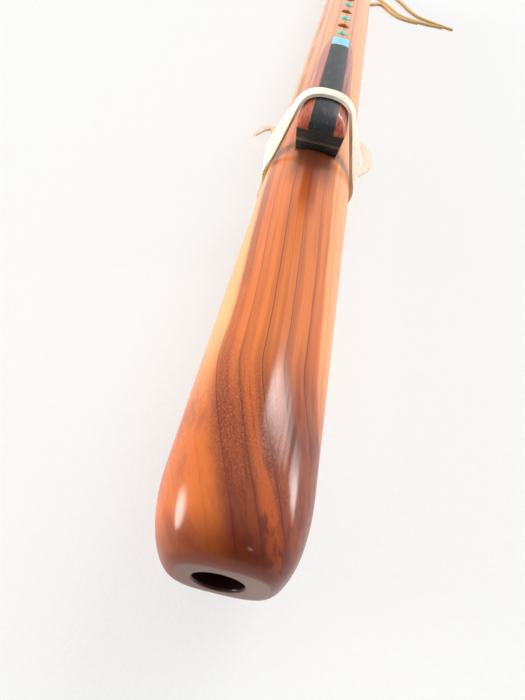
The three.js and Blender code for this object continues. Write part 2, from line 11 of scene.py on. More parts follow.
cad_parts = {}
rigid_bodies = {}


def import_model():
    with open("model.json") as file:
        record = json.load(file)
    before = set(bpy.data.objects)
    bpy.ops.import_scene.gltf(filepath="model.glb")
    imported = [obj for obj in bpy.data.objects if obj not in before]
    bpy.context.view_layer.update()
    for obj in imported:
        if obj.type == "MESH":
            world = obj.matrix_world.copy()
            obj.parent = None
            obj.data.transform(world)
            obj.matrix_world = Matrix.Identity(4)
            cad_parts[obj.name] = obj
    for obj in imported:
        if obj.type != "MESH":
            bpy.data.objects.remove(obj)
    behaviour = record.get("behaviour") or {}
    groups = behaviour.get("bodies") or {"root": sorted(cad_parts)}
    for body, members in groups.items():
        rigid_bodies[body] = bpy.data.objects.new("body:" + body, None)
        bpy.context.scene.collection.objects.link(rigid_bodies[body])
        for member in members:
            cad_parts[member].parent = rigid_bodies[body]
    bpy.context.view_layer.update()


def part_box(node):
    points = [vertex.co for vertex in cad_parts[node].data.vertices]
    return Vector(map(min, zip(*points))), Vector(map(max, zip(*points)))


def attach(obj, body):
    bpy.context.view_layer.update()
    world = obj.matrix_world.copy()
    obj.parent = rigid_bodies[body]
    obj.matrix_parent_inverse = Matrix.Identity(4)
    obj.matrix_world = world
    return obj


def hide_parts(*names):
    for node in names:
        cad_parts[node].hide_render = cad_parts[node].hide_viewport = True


for leftover in list(bpy.data.objects):
    bpy.data.objects.remove(leftover)

mm = 0.001
nearZero = 1e-9
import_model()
scene = bpy.context.scene
scene.view_settings.view_transform = "Standard"

upperLow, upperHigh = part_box("body_upper_half")
mouthX = upperLow.x
bodyLength = (upperHigh.x - upperLow.x) / mm
bodyRadius = upperHigh.y / mm
axisHeight = upperLow.z / mm
print("frame loaded, body", round(bodyLength, 2), "long, radius", round(bodyRadius, 2))


def flutePoint(x, y, z):
    return Vector((mouthX + x * mm, y * mm, (axisHeight + z) * mm))


def floorPoint(x, y, z):
    return Vector((mouthX + x * mm, y * mm, z * mm))


def mix(a, b, share):
    return a + (b - a) * share


def smoothStep(value, low, high):
    t = min(max((value - low) / (high - low), 0), 1)
    return t * t * (3 - 2 * t)


# Camera, with its place in the frame's metres and its turn in degrees
cameraSetup = {
    "place": (-0.3668, 0.0027, 0.1403),
    "turn": (40.35, -9.00, -79.80),
    "lens": 24.94,
    "sensor": 36,
    "clipStart": 0.005,
}


def addCamera(setup):
    data = bpy.data.cameras.new("camera")
    data.lens = setup["lens"]
    data.sensor_width = setup["sensor"]
    data.clip_start = setup["clipStart"]
    made = bpy.data.objects.new("camera", data)
    made.location = setup["place"]
    made.rotation_euler = [math.radians(angle) for angle in setup["turn"]]
    scene.collection.objects.link(made)
    scene.camera = made


addCamera(cameraSetup)


# Meshes
def meshObject(name, points, faces):
    mesh = bpy.data.meshes.new(name)
    mesh.from_pydata([tuple(p) for p in points], [], faces)
    made = bpy.data.objects.new(name, mesh)
    scene.collection.objects.link(made)
    return made


def faceOutwards(made):
    work = bmesh.new()
    work.from_mesh(made.data)
    bmesh.ops.recalc_face_normals(work, faces=work.faces)
    work.to_mesh(made.data)
    work.free()


# A closed body through rings of equal count, with a flat face or a tip at each end.
def loftObject(name, rings, tips=None):
    count = len(rings[0])
    points = [p for ring in rings for p in ring]
    faces = []
    for r in range(len(rings) - 1):
        for i in range(count):
            here = r * count + i
            after = r * count + (i + 1) % count
            faces.append((here, after, after + count, here + count))
    for end, start in enumerate((0, (len(rings) - 1) * count)):
        if tips:
            points.append(tips[end])
            faces += [(start + i, start + (i + 1) % count, len(points) - 1) for i in range(count)]
        else:
            faces.append(tuple(range(start, start + count)))
    made = meshObject(name, points, faces)
    faceOutwards(made)
    return made


# A turned form from (distance, radius) pairs that start and end on the axis.
def turnedObject(name, profile, centre, axis, segments):
    axis = Vector(axis)
    side = axis.orthogonal().normalized()
    other = axis.cross(side)
    angles = [2 * math.pi * k / segments for k in range(segments)]
    spokes = [side * math.cos(angle) + other * math.sin(angle) for angle in angles]
    rings = []
    for along, radius in profile[1:-1]:
        rings.append([centre + (axis * along + spoke * radius) * mm for spoke in spokes])
    tips = [centre + axis * profile[end][0] * mm for end in (0, -1)]
    return loftObject(name, rings, tips)


# An upright outline of (x, z) points, straight through from side to side.
def prismObject(name, outline, width):
    rings = [[flutePoint(x, side * width / 2, z) for x, z in outline] for side in (-1, 1)]
    return loftObject(name, rings)


def plainMesh(made):
    depsgraph = bpy.context.evaluated_depsgraph_get()
    mesh = bpy.data.meshes.new_from_object(made.evaluated_get(depsgraph))
    made.modifiers.clear()
    made.data = mesh


def cutAway(made, cutters):
    group = bpy.data.collections.new("cutters")
    scene.collection.children.link(group)
    for cutter in cutters:
        group.objects.link(cutter)
    modifier = made.modifiers.new("cut", "BOOLEAN")
    modifier.operand_type = "COLLECTION"
    modifier.collection = group
    modifier.solver = "EXACT"
    plainMesh(made)
    for cutter in cutters:
        bpy.data.objects.remove(cutter)
    bpy.data.collections.remove(group)


def softShade(made, sharpAngle):
    made.data.shade_smooth()
    made.data.set_sharp_from_angle(angle=math.radians(sharpAngle))


def finishPiece(made, material, body, nodes):
    made.data.materials.clear()
    made.data.materials.append(material)
    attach(made, body)
    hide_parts(*nodes)


# Smooth value at a place along a table of (place, value) rows, level at its high and low points.
def smoothShare(rows, place):
    i = next((k for k, row in enumerate(rows) if row[0] >= place), len(rows) - 1)
    i = max(i, 1)

    def slope(k):
        before, here, after = rows[max(k - 1, 0)], rows[k], rows[min(k + 1, len(rows) - 1)]
        if (after[1] - here[1]) * (here[1] - before[1]) <= 0:
            return 0
        return (after[1] - before[1]) / (after[0] - before[0])

    (x0, y0), (x1, y1) = rows[i - 1], rows[i]
    run = x1 - x0
    t = (place - x0) / run
    bend = (1 - t) * slope(i - 1) - t * slope(i)
    return y0 + (y1 - y0) * (3 - 2 * t) * t * t + run * t * (1 - t) * bend


# A point of a unit curve between a circle, at power 2, and a square.
def superPoint(angle, power):
    def curved(value):
        return 0 if abs(value) < nearZero else math.copysign(abs(value) ** (2 / power), value)

    return curved(math.cos(angle)), curved(math.sin(angle))


# Materials
# A colour written from 0 to 255, as the linear values that shaders take.
def colour(red, green, blue):
    def linear(value):
        value /= 255
        return value / 12.92 if value <= 0.04045 else ((value + 0.055) / 1.055) ** 2.4

    return (linear(red), linear(green), linear(blue), 1)


# A node tree under construction. An input takes another node's output, or a plain value.
class NodeBuilder:
    def __init__(self, tree):
        self.tree = tree

    def feed(self, target, value):
        if isinstance(value, bpy.types.NodeSocket):
            self.tree.links.new(value, target)
        else:
            target.default_value = value

    def node(self, kind, inputs=None, **settings):
        made = self.tree.nodes.new(kind)
        for name, value in settings.items():
            setattr(made, name, value)
        for socket, value in (inputs or {}).items():
            self.feed(made.inputs[socket], value)
        return made

    def add(self, kind, inputs=None, **settings):
        return self.node(kind, inputs, **settings).outputs[0]

    def maths(self, operation, a, b=0.0, clamp=False):
        return self.add("ShaderNodeMath", {0: a, 1: b}, operation=operation, use_clamp=clamp)

    def plus(self, a, b):
        return self.maths("ADD", a, b)

    def minus(self, a, b):
        return self.maths("SUBTRACT", a, b)

    def times(self, *values):
        product = values[0]
        for value in values[1:]:
            product = self.maths("MULTIPLY", product, value)
        return product

    # How far a place is from an axis, by its two distances at right angles.
    def reach(self, a, b):
        return self.maths("SQRT", self.plus(self.times(a, a), self.times(b, b)))

    # From 0 at one value to 1 at the other, eased at both ends.
    def between(self, value, low, high):
        inputs = {"Value": value, "From Min": low, "From Max": high}
        return self.add("ShaderNodeMapRange", inputs, interpolation_type="SMOOTHSTEP")

    # One value where a share is 0, and the other where it is 1.
    def ramp(self, share, low, high):
        return self.add("ShaderNodeMapRange", {"Value": share, "To Min": low, "To Max": high})

    # 1 inside a range of places and 0 outside it, with soft edges.
    def zone(self, value, low, high, edge):
        return self.times(
            self.between(value, low - edge, low + edge), self.between(value, high + edge, high - edge)
        )


class Finish(NodeBuilder):
    def __init__(self, name):
        self.material = bpy.data.materials.new(name)
        self.material.use_nodes = True
        super().__init__(self.material.node_tree)
        self.shader = self.tree.nodes["Principled BSDF"]
        self.place = self.node("ShaderNodeTexCoord").outputs["Object"]

    def noise(self, scale, detail=3, roughness=0.55, offset=(0, 0, 0), place=None):
        mapping = {"Vector": place or self.place, "Scale": scale, "Location": offset}
        inputs = {
            "Vector": self.add("ShaderNodeMapping", mapping), "Scale": 1,
            "Detail": detail, "Roughness": roughness,
        }
        return self.node("ShaderNodeTexNoise", inputs).outputs["Fac"]

    # Colours may be given as their three numbers.
    def blend(self, share, *sides):
        a, b = (colour(*side) if isinstance(side, tuple) else side for side in sides)
        return self.node("ShaderNodeMix", {0: share, 6: a, 7: b}, data_type="RGBA").outputs[2]

    # A tone with another over it, where all the shares are high.
    def tint(self, tone, over, *shares):
        return self.blend(self.times(*shares), tone, over)

    # The height above the floor, in the frame's metres.
    def height(self):
        return self.node("ShaderNodeSeparateXYZ", {0: self.place}).outputs["Z"]

    def attribute(self, name):
        return self.node("ShaderNodeAttribute", attribute_name=name).outputs["Fac"]

    def bump(self, height, distance, strength):
        inputs = {"Height": height, "Distance": distance * mm, "Strength": strength}
        return self.node("ShaderNodeBump", inputs).outputs["Normal"]

    def surface(self, **sockets):
        for name, value in sockets.items():
            self.feed(self.shader.inputs[name.replace("_", " ")], value)
        return self.material


# The grain runs along the body. It bends to the right at the mouth end, and leans before the block.
# Pairs say where something starts and where it is full: places in millimetres from the mouth end,
# layers in millimetres across the bent grain, or values of a noise. A third number is a soft edge.
# A noise is its scale, detail, roughness and offset. A stain tints the wood between its two values.
cedarLook = {
    "noises": {
        "drift": ((16, 44, 60), 3, 0.6, (0.3, 0.1, 0.7)),
        "fibres": ((0.04, 3.2, 3.2), 3, 0.6),
        "streaks": ((0.008, 0.42, 0.42), 3, 0.6, (0.2, 0.4, 0.1)),
        "flecks": ((1.7, 3.0, 3.0), 2, 0.6),
        "clouds": ((0.022, 0.06, 0.06), 2, 0.5, (2.2, 0.6, 0.9)),
        "blotches": ((0.07, 0.16, 0.16), 4, 0.65, (0.9, 0.3, 0.2)),
        "strength": ((0.004, 0.13, 0.13), 1, 0.5, (0.7, 0.2, 0.4)),
        "pores": ((700, 900, 900), 2),
    },
    "crook": {"reach": 52, "throw": 16.5, "power": 1.4},
    "lean": {"places": (50, 150), "amount": 3.6},
    "wander": 1.3,
    "streak": (0.4, 0.68),
    "glow": {"layers": (3, 7, 0.8), "streaks": (0.62, 0.42)},
    "mouth": {"places": (66, 28), "share": 0.92},
    "heartEdge": {"width": 2.6, "edge": 0.5},
    "front": {"layers": (-7, -0.4, 0.9), "start": (112, 134)},
    "curl": {"layers": (-2, 18, 3.5), "places": (16, 100, 12)},
    "sapwood": {
        "left": 13, "edge": 0.7, "mouthLeft": 15.8, "mouthEdge": 2.8, "places": (24, 72), "ragged": 2.4,
        "right": (-12.8, -14.9), "rightShare": 0.8,
    },
    "ring": {
        "spacing": 5.8, "phase": 2.1, "line": (0.44, 0.12), "sharp": (0, 0.06), "share": 0.75,
        "lostInSapwood": 0.75,
        "far": (50, 190), "farShare": 0.5, "strength": (0.4, 0.6), "leastShare": 0.4,
    },
    "fineRing": {"perRing": 2.6, "line": (0.045, 0.01), "clouds": (0.38, 0.6), "share": 0.35},
    # The painted shadow and dark reflection of the block on the wood in front of it
    "shade": {"start": (132, 160), "across": (-8.5, 8.5, 3)},
    # Painted shade on the walls inside the bores, the breath hole and the finger holes
    "hollow": {"past": 0.1, "boreEdge": 0.1, "breathEdge": 0.6, "places": (0.7, 0.9)},
    "hole": {"past": 0.1, "edge": 0.5, "endEdge": 1},
    "fibreRelief": 0.5,
    "stains": {
        "far": ("farPaleAndGlare", (170, 320), 0.7),
        "heartEdge": ("mouthHeart", (0.2, 0.55), 0.6),
        "front": ("frontOrange", (174, 159), 0.9),
        "curl": ("curlGold", (0.44, 0.66), 0.36),
        "mouthSap": ("mouthStain", (0.46, 0.66), 0.6),
        "latewood": ("mouthStreak", (2.4, 0), 0.25),
        "fibre": ("mouthStreak", (0.52, 0.75), 0.2),
        "shoulder": ("mouthStreak", (11, 2), 0.6),
        "rim": ("rimBrown", (2.6, 0.5), 0.8),
        "shade": ("paintedBlockShadow", (172, 170), 0.85),
        "seam": ("line", (0.16, 0.05), 0.3),
        "endFace": ("endGrain", (0.14, 0.04), 0.9),
        "hole": ("paintedHoleShade", (0, 1), 0.9),
    },
    "tones": {
        "heart": (224, 124, 60),
        "heartStreak": (206, 104, 52),
        "mouthHeart": (132, 54, 30),
        "mouthStreak": (98, 36, 22),
        "mouthGlow": (180, 80, 30),
        "mouthStain": (160, 76, 40),
        "curlGold": (226, 130, 54),
        "sapPale": (246, 170, 106),
        "sapOrange": (208, 106, 40),
        "frontOrange": (176, 72, 0),
        # Painted shadow and dark reflection of the block
        "paintedBlockShadow": (70, 32, 18),
        "rimBrown": (120, 42, 0),
        # Partly a paler tone of the wood and partly painted glare, on the far part of the body
        "farPaleAndGlare": (244, 174, 124),
        "line": (86, 30, 24),
        "endGrain": (132, 88, 72),
        # Painted shade inside the bores and the breath hole
        "hollow": (40, 12, 8),
        # Painted shade down the walls of the finger holes
        "paintedHoleShade": (50, 33, 24),
    },
}


def cedarFinish(look):
    f = Finish("cedar")
    tones, noises = look["tones"], look["noises"]
    moved = f.add("ShaderNodeMapping", {
        "Vector": f.place, "Scale": (1 / mm, 1 / mm, 1 / mm), "Location": (-mouthX / mm, 0, -axisHeight),
    })
    along, across, height = f.node("ShaderNodeSeparateXYZ", {0: moved}).outputs

    crook, lean = look["crook"], look["lean"]
    left = f.maths("SUBTRACT", 1, f.maths("DIVIDE", along, crook["reach"]), clamp=True)
    bent = f.times(f.maths("POWER", left, crook["power"]), crook["throw"])
    leant = f.times(f.between(along, *lean["places"]), lean["amount"])
    wander = f.times(f.minus(f.noise(*noises["drift"]), 0.5), look["wander"])
    layer = f.plus(f.minus(f.plus(across, bent), leant), wander)
    grain = f.add("ShaderNodeCombineXYZ", {0: along, 1: layer, 2: height})
    fibres, streaks, flecks, clouds, blotches, strength = (
        f.noise(*noises[key], place=grain)
        for key in ("fibres", "streaks", "flecks", "clouds", "blotches", "strength")
    )

    def stained(wood, key, value, *shares):
        tone, pair, share = look["stains"][key]
        return f.tint(wood, tones[tone], f.between(value, *pair), *shares, share)

    # Heartwood, dark at the mouth end
    mouth, glow = look["mouth"], look["glow"]
    nearMouth = f.between(along, *mouth["places"])
    streaked = f.between(streaks, *look["streak"])
    wood = f.blend(streaked, tones["heart"], tones["heartStreak"])
    dark = f.blend(streaked, tones["mouthHeart"], tones["mouthStreak"])
    glowing = f.times(f.zone(layer, *glow["layers"]), f.between(streaks, *glow["streaks"]))
    dark = f.tint(dark, tones["mouthGlow"], glowing)
    wood = f.tint(wood, dark, nearMouth, mouth["share"])
    # The far part is paler, partly the wood's own tone and partly painted glare.
    wood = stained(wood, "far", along)
    sap, edge, front, curl = (look[key] for key in ("sapwood", "heartEdge", "front", "curl"))
    besideSap = f.zone(layer, sap["left"] - edge["width"], sap["left"], edge["edge"])
    wood = stained(wood, "heartEdge", clouds, besideSap)
    inFront = f.times(f.zone(layer, *front["layers"]), f.between(along, *front["start"]))
    wood = stained(wood, "front", along, inFront)
    curled = f.times(f.zone(layer, *curl["layers"]), f.zone(along, *curl["places"]))
    wood = stained(wood, "curl", flecks, curled)

    # Sapwood along both sides, stained at the mouth end
    ragged = f.plus(layer, f.times(f.minus(streaks, 0.5), sap["ragged"]))
    straight = f.between(along, *sap["places"])
    pale = f.blend(straight, tones["sapOrange"], tones["sapPale"])
    pale = stained(pale, "mouthSap", blotches, nearMouth)
    sapFrom = f.ramp(straight, sap["mouthLeft"] - sap["mouthEdge"], sap["left"] - sap["edge"])
    sapTo = f.ramp(straight, sap["mouthLeft"] + sap["mouthEdge"], sap["left"] + sap["edge"])
    sapRight = f.times(f.between(ragged, *sap["right"]), sap["rightShare"])
    sapShare = f.maths("MAXIMUM", f.between(ragged, sapFrom, sapTo), sapRight)
    wood = f.blend(sapShare, wood, pale)

    # Growth rings: a line at the end of each, the darker wood before it, and finer lines between
    ring, fine = look["ring"], look["fineRing"]
    ringPlace = f.maths("DIVIDE", f.minus(layer, ring["phase"]), ring["spacing"])
    toLine = f.minus(ring["spacing"], f.times(f.maths("FRACT", ringPlace), ring["spacing"]))
    line = f.times(f.between(toLine, *ring["line"]), f.between(toLine, *ring["sharp"]), ring["share"])
    toFine = f.maths("ABSOLUTE", f.minus(f.maths("FRACT", f.times(ringPlace, fine["perRing"])), 0.5))
    fineLine = f.times(f.between(toFine, *fine["line"]), f.between(clouds, *fine["clouds"]), fine["share"])
    inHeart = f.minus(1, f.times(sapShare, ring["lostInSapwood"]))
    lines = f.times(
        f.maths("MAXIMUM", line, fineLine), f.ramp(f.between(along, *ring["far"]), 1, ring["farShare"]),
        f.ramp(f.between(strength, *ring["strength"]), ring["leastShare"], 1), inHeart,
    )
    wood = stained(wood, "latewood", toLine, inHeart)
    wood = f.tint(wood, tones["line"], lines)
    wood = stained(wood, "fibre", fibres)

    # Rounded shoulder, worn rim, painted shadow and dark reflection of the block on the wood before it,
    # glue seam and the end's face
    shade = look["shade"]
    wood = stained(stained(wood, "shoulder", along), "rim", along)
    # The wood in front of the block is darkened: a painted shadow and dark reflection of the block.
    paintedShadowBeforeBlock = f.times(f.between(along, *shade["start"]), f.zone(across, *shade["across"]))
    wood = stained(wood, "shade", along, paintedShadowBeforeBlock)
    wood = stained(wood, "seam", f.maths("ABSOLUTE", height))
    wood = stained(wood, "endFace", along)

    # Painted shade inside the bores, the breath hole and the finger holes
    hollow, hole = look["hollow"], look["hole"]
    fromAxis = f.reach(across, height)
    boreWall = hollows["boreRadius"] + hollow["past"]
    breathWall = hollows["breathRadius"] + hollows["rimRound"]
    paintedBoreShade = f.times(
        f.between(fromAxis, boreWall + hollow["boreEdge"], boreWall), f.between(along, *hollow["places"])
    )
    paintedBreathShade = f.between(fromAxis, breathWall, breathWall - hollow["breathEdge"])
    wood = f.blend(f.maths("MAXIMUM", paintedBoreShade, paintedBreathShade), wood, tones["hollow"])
    spacing = fingerHoles["spacing"]
    fromFirst = f.minus(along, fingerHoles["first"] - spacing / 2)
    holeShare = f.maths("FRACT", f.maths("DIVIDE", fromFirst, spacing))
    fromHole = f.minus(f.times(holeShare, spacing), spacing / 2)
    wall = fingerHoles["radius"] + hole["past"]
    inHole = f.between(f.reach(fromHole, across), wall, wall - hole["edge"])
    inRow = f.zone(fromFirst, 0, spacing * fingerHoles["count"], hole["endEdge"])
    # Painted shade down the walls of the finger holes.
    wood = stained(wood, "hole", height, inHole, inRow)

    relief = f.plus(f.times(fibres, look["fibreRelief"]), f.noise(*noises["pores"]))
    return f.surface(
        Base_Color=wood,
        Roughness=0.42,
        Specular_IOR_Level=0.1,
        Coat_Weight=0.52,
        Coat_Roughness=0.12,
        Normal=f.bump(relief, distance=0.025, strength=0.22),
    )


# A finish whose base tone has layers over it, each with its noise, where it starts and is full, its
# share and its tone. Gives the finish, its noises and the tone so far.
def layeredFinish(name, look):
    f = Finish(name)
    noises = {key: f.noise(*facts) for key, facts in look["noises"].items()}
    tone = look["base"]
    for key, low, high, share, over in look["layers"]:
        tone = f.tint(tone, over, f.between(noises[key], low, high), share)
    return f, noises, tone


ebonyLook = {
    "noises": {"scratches": ((60, 3200, 700), 3, 0.7), "wear": ((240, 240, 240), 3, 0.6)},
    "base": (32, 33, 36), "layers": [],
    "scratched": (0.48, 0.74), "paleMarks": (0.35, 0.7), "wornTone": (108, 114, 124), "roughness": (0.3, 0.55),
}
# The base's front is painted paler along its ridge: a painted highlight where the ridge catches the light,
# broken up by the grain.
darkWoodLook = {
    "noises": {"grain": ((60, 90, 2400), 4, 0.65), "patches": ((160, 160, 400), 2, 0.5)},
    "base": (36, 33, 31),
    "layers": [("grain", 0.42, 0.72, 1, (76, 66, 56)), ("patches", 0.5, 0.7, 0.5, (24, 21, 20))],
    "ridge": (0.8, 0.1), "ridgeGrain": (0.3, 0.55), "ridgeHighlightShare": 0.6, "ridgeHighlightTone": (124, 104, 82),
}
rosewoodLook = {
    "noises": {
        "grain": ((26, 1500, 500), 4, 0.65), "bands": ((10, 320, 120), 2, 0.5),
        "pores": ((180, 4200, 2400), 2, 0.6),
    },
    "base": (202, 108, 76),
    "layers": [
        ("grain", 0.34, 0.7, 1, (146, 60, 44)), ("bands", 0.52, 0.64, 0.55, (106, 36, 32)),
        ("pores", 0.6, 0.74, 0.35, (80, 28, 24)),
    ],
}


def ebonyFinish(look):
    f, noises, wood = layeredFinish("ebony", look)
    scratches = noises["scratches"]
    paleMarks = f.times(f.between(scratches, *look["scratched"]), f.between(noises["wear"], *look["paleMarks"]))
    return f.surface(
        Base_Color=f.blend(paleMarks, wood, look["wornTone"]),
        Roughness=f.ramp(scratches, *look["roughness"]),
        Normal=f.bump(scratches, distance=0.05, strength=0.6),
    )


def darkWoodFinish(look, ridgeHeight):
    f, noises, wood = layeredFinish("dark wood", look)
    grain = noises["grain"]
    fromRidge = f.maths("ABSOLUTE", f.minus(f.maths("DIVIDE", f.height(), mm), ridgeHeight))
    # A painted highlight: the base's colour is lightened in a band at the ridge's height.
    paleMarks = f.times(f.between(fromRidge, *look["ridge"]), f.between(grain, *look["ridgeGrain"]))
    return f.surface(
        Base_Color=f.tint(wood, look["ridgeHighlightTone"], paleMarks, look["ridgeHighlightShare"]),
        Roughness=0.5,
        Specular_IOR_Level=0.35,
        Normal=f.bump(grain, distance=0.06, strength=0.7),
    )


def rosewoodFinish(look):
    f, noises, wood = layeredFinish("rosewood", look)
    return f.surface(
        Base_Color=wood,
        Roughness=0.34,
        Specular_IOR_Level=0.2,
        Coat_Weight=0.4,
        Coat_Roughness=0.1,
        Normal=f.bump(noises["grain"], distance=0.03, strength=0.5),
    )


# Turquoise with pale clouds and a few brown veins. Each stone has a tone of its own.
stoneLook = {
    "noises": {"clouds": ((420, 420, 420), 3, 0.6), "wander": ((700, 700, 700), 3, 0.7)},
    "cloudy": (0.35, 0.7), "ownShare": 0.7, "veinScale": 260, "veinWander": 0.35, "vein": (0.05, 0.012),
    "veinTone": (92, 74, 52),
}


def stoneFinish(name, look):
    layers = [("clouds", *look["cloudy"], 1, look["pale"])]
    f, noises, stone = layeredFinish(name, {**look, "layers": layers})
    coarse = f.add("ShaderNodeMapping", {"Vector": f.place, "Scale": (look["veinScale"],) * 3})
    wandered = f.blend(look["veinWander"], coarse, noises["wander"])
    veins = f.node("ShaderNodeTexVoronoi", {"Vector": wandered, "Scale": 1}, feature="DISTANCE_TO_EDGE")
    stone = f.tint(stone, look["own"], f.attribute("stoneTone"), look["ownShare"])
    inVein = f.between(veins.outputs["Distance"], *look["vein"])
    return f.surface(
        Base_Color=f.tint(stone, look["veinTone"], inVein, look["veinShare"]),
        Roughness=0.3,
        Coat_Weight=0.3,
        Normal=f.bump(noises["clouds"], distance=0.05, strength=0.5),
    )


# Soft leather: a napped face, with a browner cut edge that can stay pale above a height. On the strap the
# brown edge is partly the leather's cut edge and partly painted shade on the legs, and it is kept pale near
# the crest.
leatherLook = {
    "noises": {
        "nap": ((2600, 2600, 2600), 4, 0.7), "patches": ((240, 240, 240), 3, 0.6),
        "pores": ((5200, 5200, 5200), 1),
    },
    "patchy": (0.3, 0.75), "napped": (0.55, 0.8), "napShare": 0.22, "cutShare": 0.9,
    "paleRun": 8, "paleShare": 0.1, "poreRelief": 0.5,
}
strapLook = {**leatherLook, "base": (250, 243, 224), "shade": (242, 233, 210), "edge": (204, 170, 122)}
tailLook = {**leatherLook, "base": (250, 244, 228), "shade": (244, 236, 216), "edge": (232, 212, 178)}
laceLook = {**leatherLook, "base": (244, 212, 154), "shade": (234, 196, 132), "edge": (212, 170, 108)}


def leatherFinish(name, look, paleFrom=None):
    edge = look["edge"]
    layers = [
        ("patches", *look["patchy"], 1, look["shade"]), ("nap", *look["napped"], look["napShare"], edge),
    ]
    f, noises, hide = layeredFinish(name, {**look, "layers": layers})
    cut = f.times(f.attribute("cutEdge"), look["cutShare"])
    # On the strap, the brown edge is painted shade on the legs as well as the cut edge, and fades out
    # towards the crest.
    if paleFrom:
        below = f.between(f.height(), paleFrom * mm, (paleFrom - look["paleRun"]) * mm)
        cut = f.times(cut, f.ramp(below, look["paleShare"], 1))
    relief = f.plus(noises["nap"], f.times(noises["pores"], look["poreRelief"]))
    return f.surface(
        Base_Color=f.blend(cut, hide, edge),
        Roughness=0.9,
        Sheen_Weight=0.2,
        Sheen_Roughness=0.5,
        Normal=f.bump(relief, distance=0.12, strength=0.7),
    )


# Body: two halves, lofted from the mouth end's rounded face to the foot
bodyShape = {
    "faceHalfWidth": 9.9, "faceTop": 8, "faceBottom": 7, "faceShift": -0.8,
    "sideTaper": 24, "topTaper": 23, "bottomTaper": 24,
    "sidePower": 2.1, "heightPower": 2.4, "facePower": 3.1,
    "footEdge": 1.2, "mouthRings": 44, "footRings": 14, "midSpacing": 24, "halfSteps": 84, "sharpAngle": 9,
}
hollows = {
    "boreRadius": 11.1, "breathRadius": 5.9, "rimRound": 0.7, "rimSteps": 12,
    "slowStart": 26, "plugStart": 236, "plugEnd": 256, "overrun": 2, "segments": 72, "endRings": 16,
}
voicing = {
    "width": 9.5, "exitStart": 221, "exitLength": 7, "rampLength": 6, "flueDepth": 0.9, "lap": 1,
    "soundHoleStart": 262, "soundHoleLength": 6.5, "edgeDrop": 0.8, "edgeRamp": 9, "undercut": 8,
}
nest = {"start": 165.6, "end": 292, "depth": 2.15, "runOut": 14}
fingerHoles = {
    "count": 6, "first": 343.5, "spacing": 33.8, "radius": 4, "flare": 0.6, "flareDepth": 0.8,
    "flareSteps": 12, "segments": 48,
}
dots = {
    "count": 7, "first": 327.5, "spacing": 33.8, "radius": 3.6, "thickness": 1.9, "crown": 1.2, "gap": 0.3,
    "crownSteps": 10, "segments": 40, "sharpAngle": 30, "seed": 4,
}
nestHeight = bodyRadius - nest["depth"]


def swell(x, taper, power):
    left = max(0, 1 - x / taper)
    return (1 - left ** power) ** (1 / power)


def bodyHalfRing(x, inset, side):
    s = bodyShape
    wide = swell(x, s["sideTaper"], s["sidePower"])
    halfWidth = mix(s["faceHalfWidth"], bodyRadius, wide) - inset
    taper = s["topTaper"] if side > 0 else s["bottomTaper"]
    face = s["faceTop"] if side > 0 else s["faceBottom"]
    tall = mix(face, bodyRadius, swell(x, taper, s["heightPower"])) - inset
    power = mix(s["facePower"], 2, wide)
    shift = s["faceShift"] * (1 - wide)
    ring = []
    for k in range(s["halfSteps"] + 1):
        across, up = superPoint(side * math.pi * k / s["halfSteps"], power)
        ring.append(flutePoint(x, shift + across * halfWidth, up * tall))
    return ring


# Angles in equal steps from 0 to a quarter turn, without the first.
def quarterTurn(steps):
    return [math.pi / 2 * k / steps for k in range(1, steps + 1)]


def bodyHalf(name, side):
    s = bodyShape
    taper = max(s["sideTaper"], s["topTaper"], s["bottomTaper"])
    places = [(taper * (k / s["mouthRings"]) ** 2, 0) for k in range(s["mouthRings"] + 1)]
    footStart = bodyLength - s["footEdge"]
    steps = round((footStart - taper) / s["midSpacing"])
    places += [(mix(taper, footStart, k / steps), 0) for k in range(1, steps + 1)]
    for angle in quarterTurn(s["footRings"]):
        places.append((footStart + s["footEdge"] * math.sin(angle), s["footEdge"] * (1 - math.cos(angle))))
    return loftObject(name, [bodyHalfRing(x, inset, side) for x, inset in places])


def boreCutter(name, start, end):
    radius = hollows["boreRadius"]
    profile = [(start, 0)]
    for angle in quarterTurn(hollows["endRings"]):
        profile.append((start + radius * (1 - math.cos(angle)), radius * math.sin(angle)))
    profile += [(start + end - along, out) for along, out in reversed(profile)]
    return turnedObject(name, profile, flutePoint(0, 0, 0), (1, 0, 0), hollows["segments"])


# The breath hole, with a rounded rim.
def breathCutter():
    radius, rim, over = hollows["breathRadius"], hollows["rimRound"], hollows["overrun"]
    profile = [(-over, 0), (-over, radius + rim), (0, radius + rim)]
    for angle in quarterTurn(hollows["rimSteps"]):
        profile.append((rim * (1 - math.cos(angle)), radius + rim * (1 - math.sin(angle))))
    end = hollows["slowStart"] + hollows["boreRadius"]
    profile += [(end, radius), (end, 0)]
    return turnedObject("breath", profile, flutePoint(0, 0, 0), (1, 0, 0), hollows["segments"])


def voicingCutters():
    v, floor, above = voicing, hollows["boreRadius"] / 2, nestHeight + hollows["overrun"]
    exitEnd = v["exitStart"] + v["exitLength"]
    rampEnd = exitEnd + v["rampLength"]
    flueFloor = nestHeight - v["flueDepth"]
    edge = v["soundHoleStart"] + v["soundHoleLength"]
    flueEnd, edgeEnd = edge - v["lap"], edge + v["edgeRamp"]
    exitHole = [
        (v["exitStart"], floor), (exitEnd, floor), (rampEnd, flueFloor), (rampEnd, above),
        (v["exitStart"], above),
    ]
    flue = [(exitEnd, flueFloor), (flueEnd, flueFloor), (flueEnd, above), (exitEnd, above)]
    soundHole = [
        (v["soundHoleStart"], floor), (edge + v["undercut"], floor), (edge, nestHeight - v["edgeDrop"]),
        (edgeEnd, nestHeight), (edgeEnd, above), (v["soundHoleStart"], above),
    ]
    outlines = {"exit": exitHole, "flue": flue, "soundHole": soundHole}
    return [prismObject(name, outline, v["width"]) for name, outline in outlines.items()]


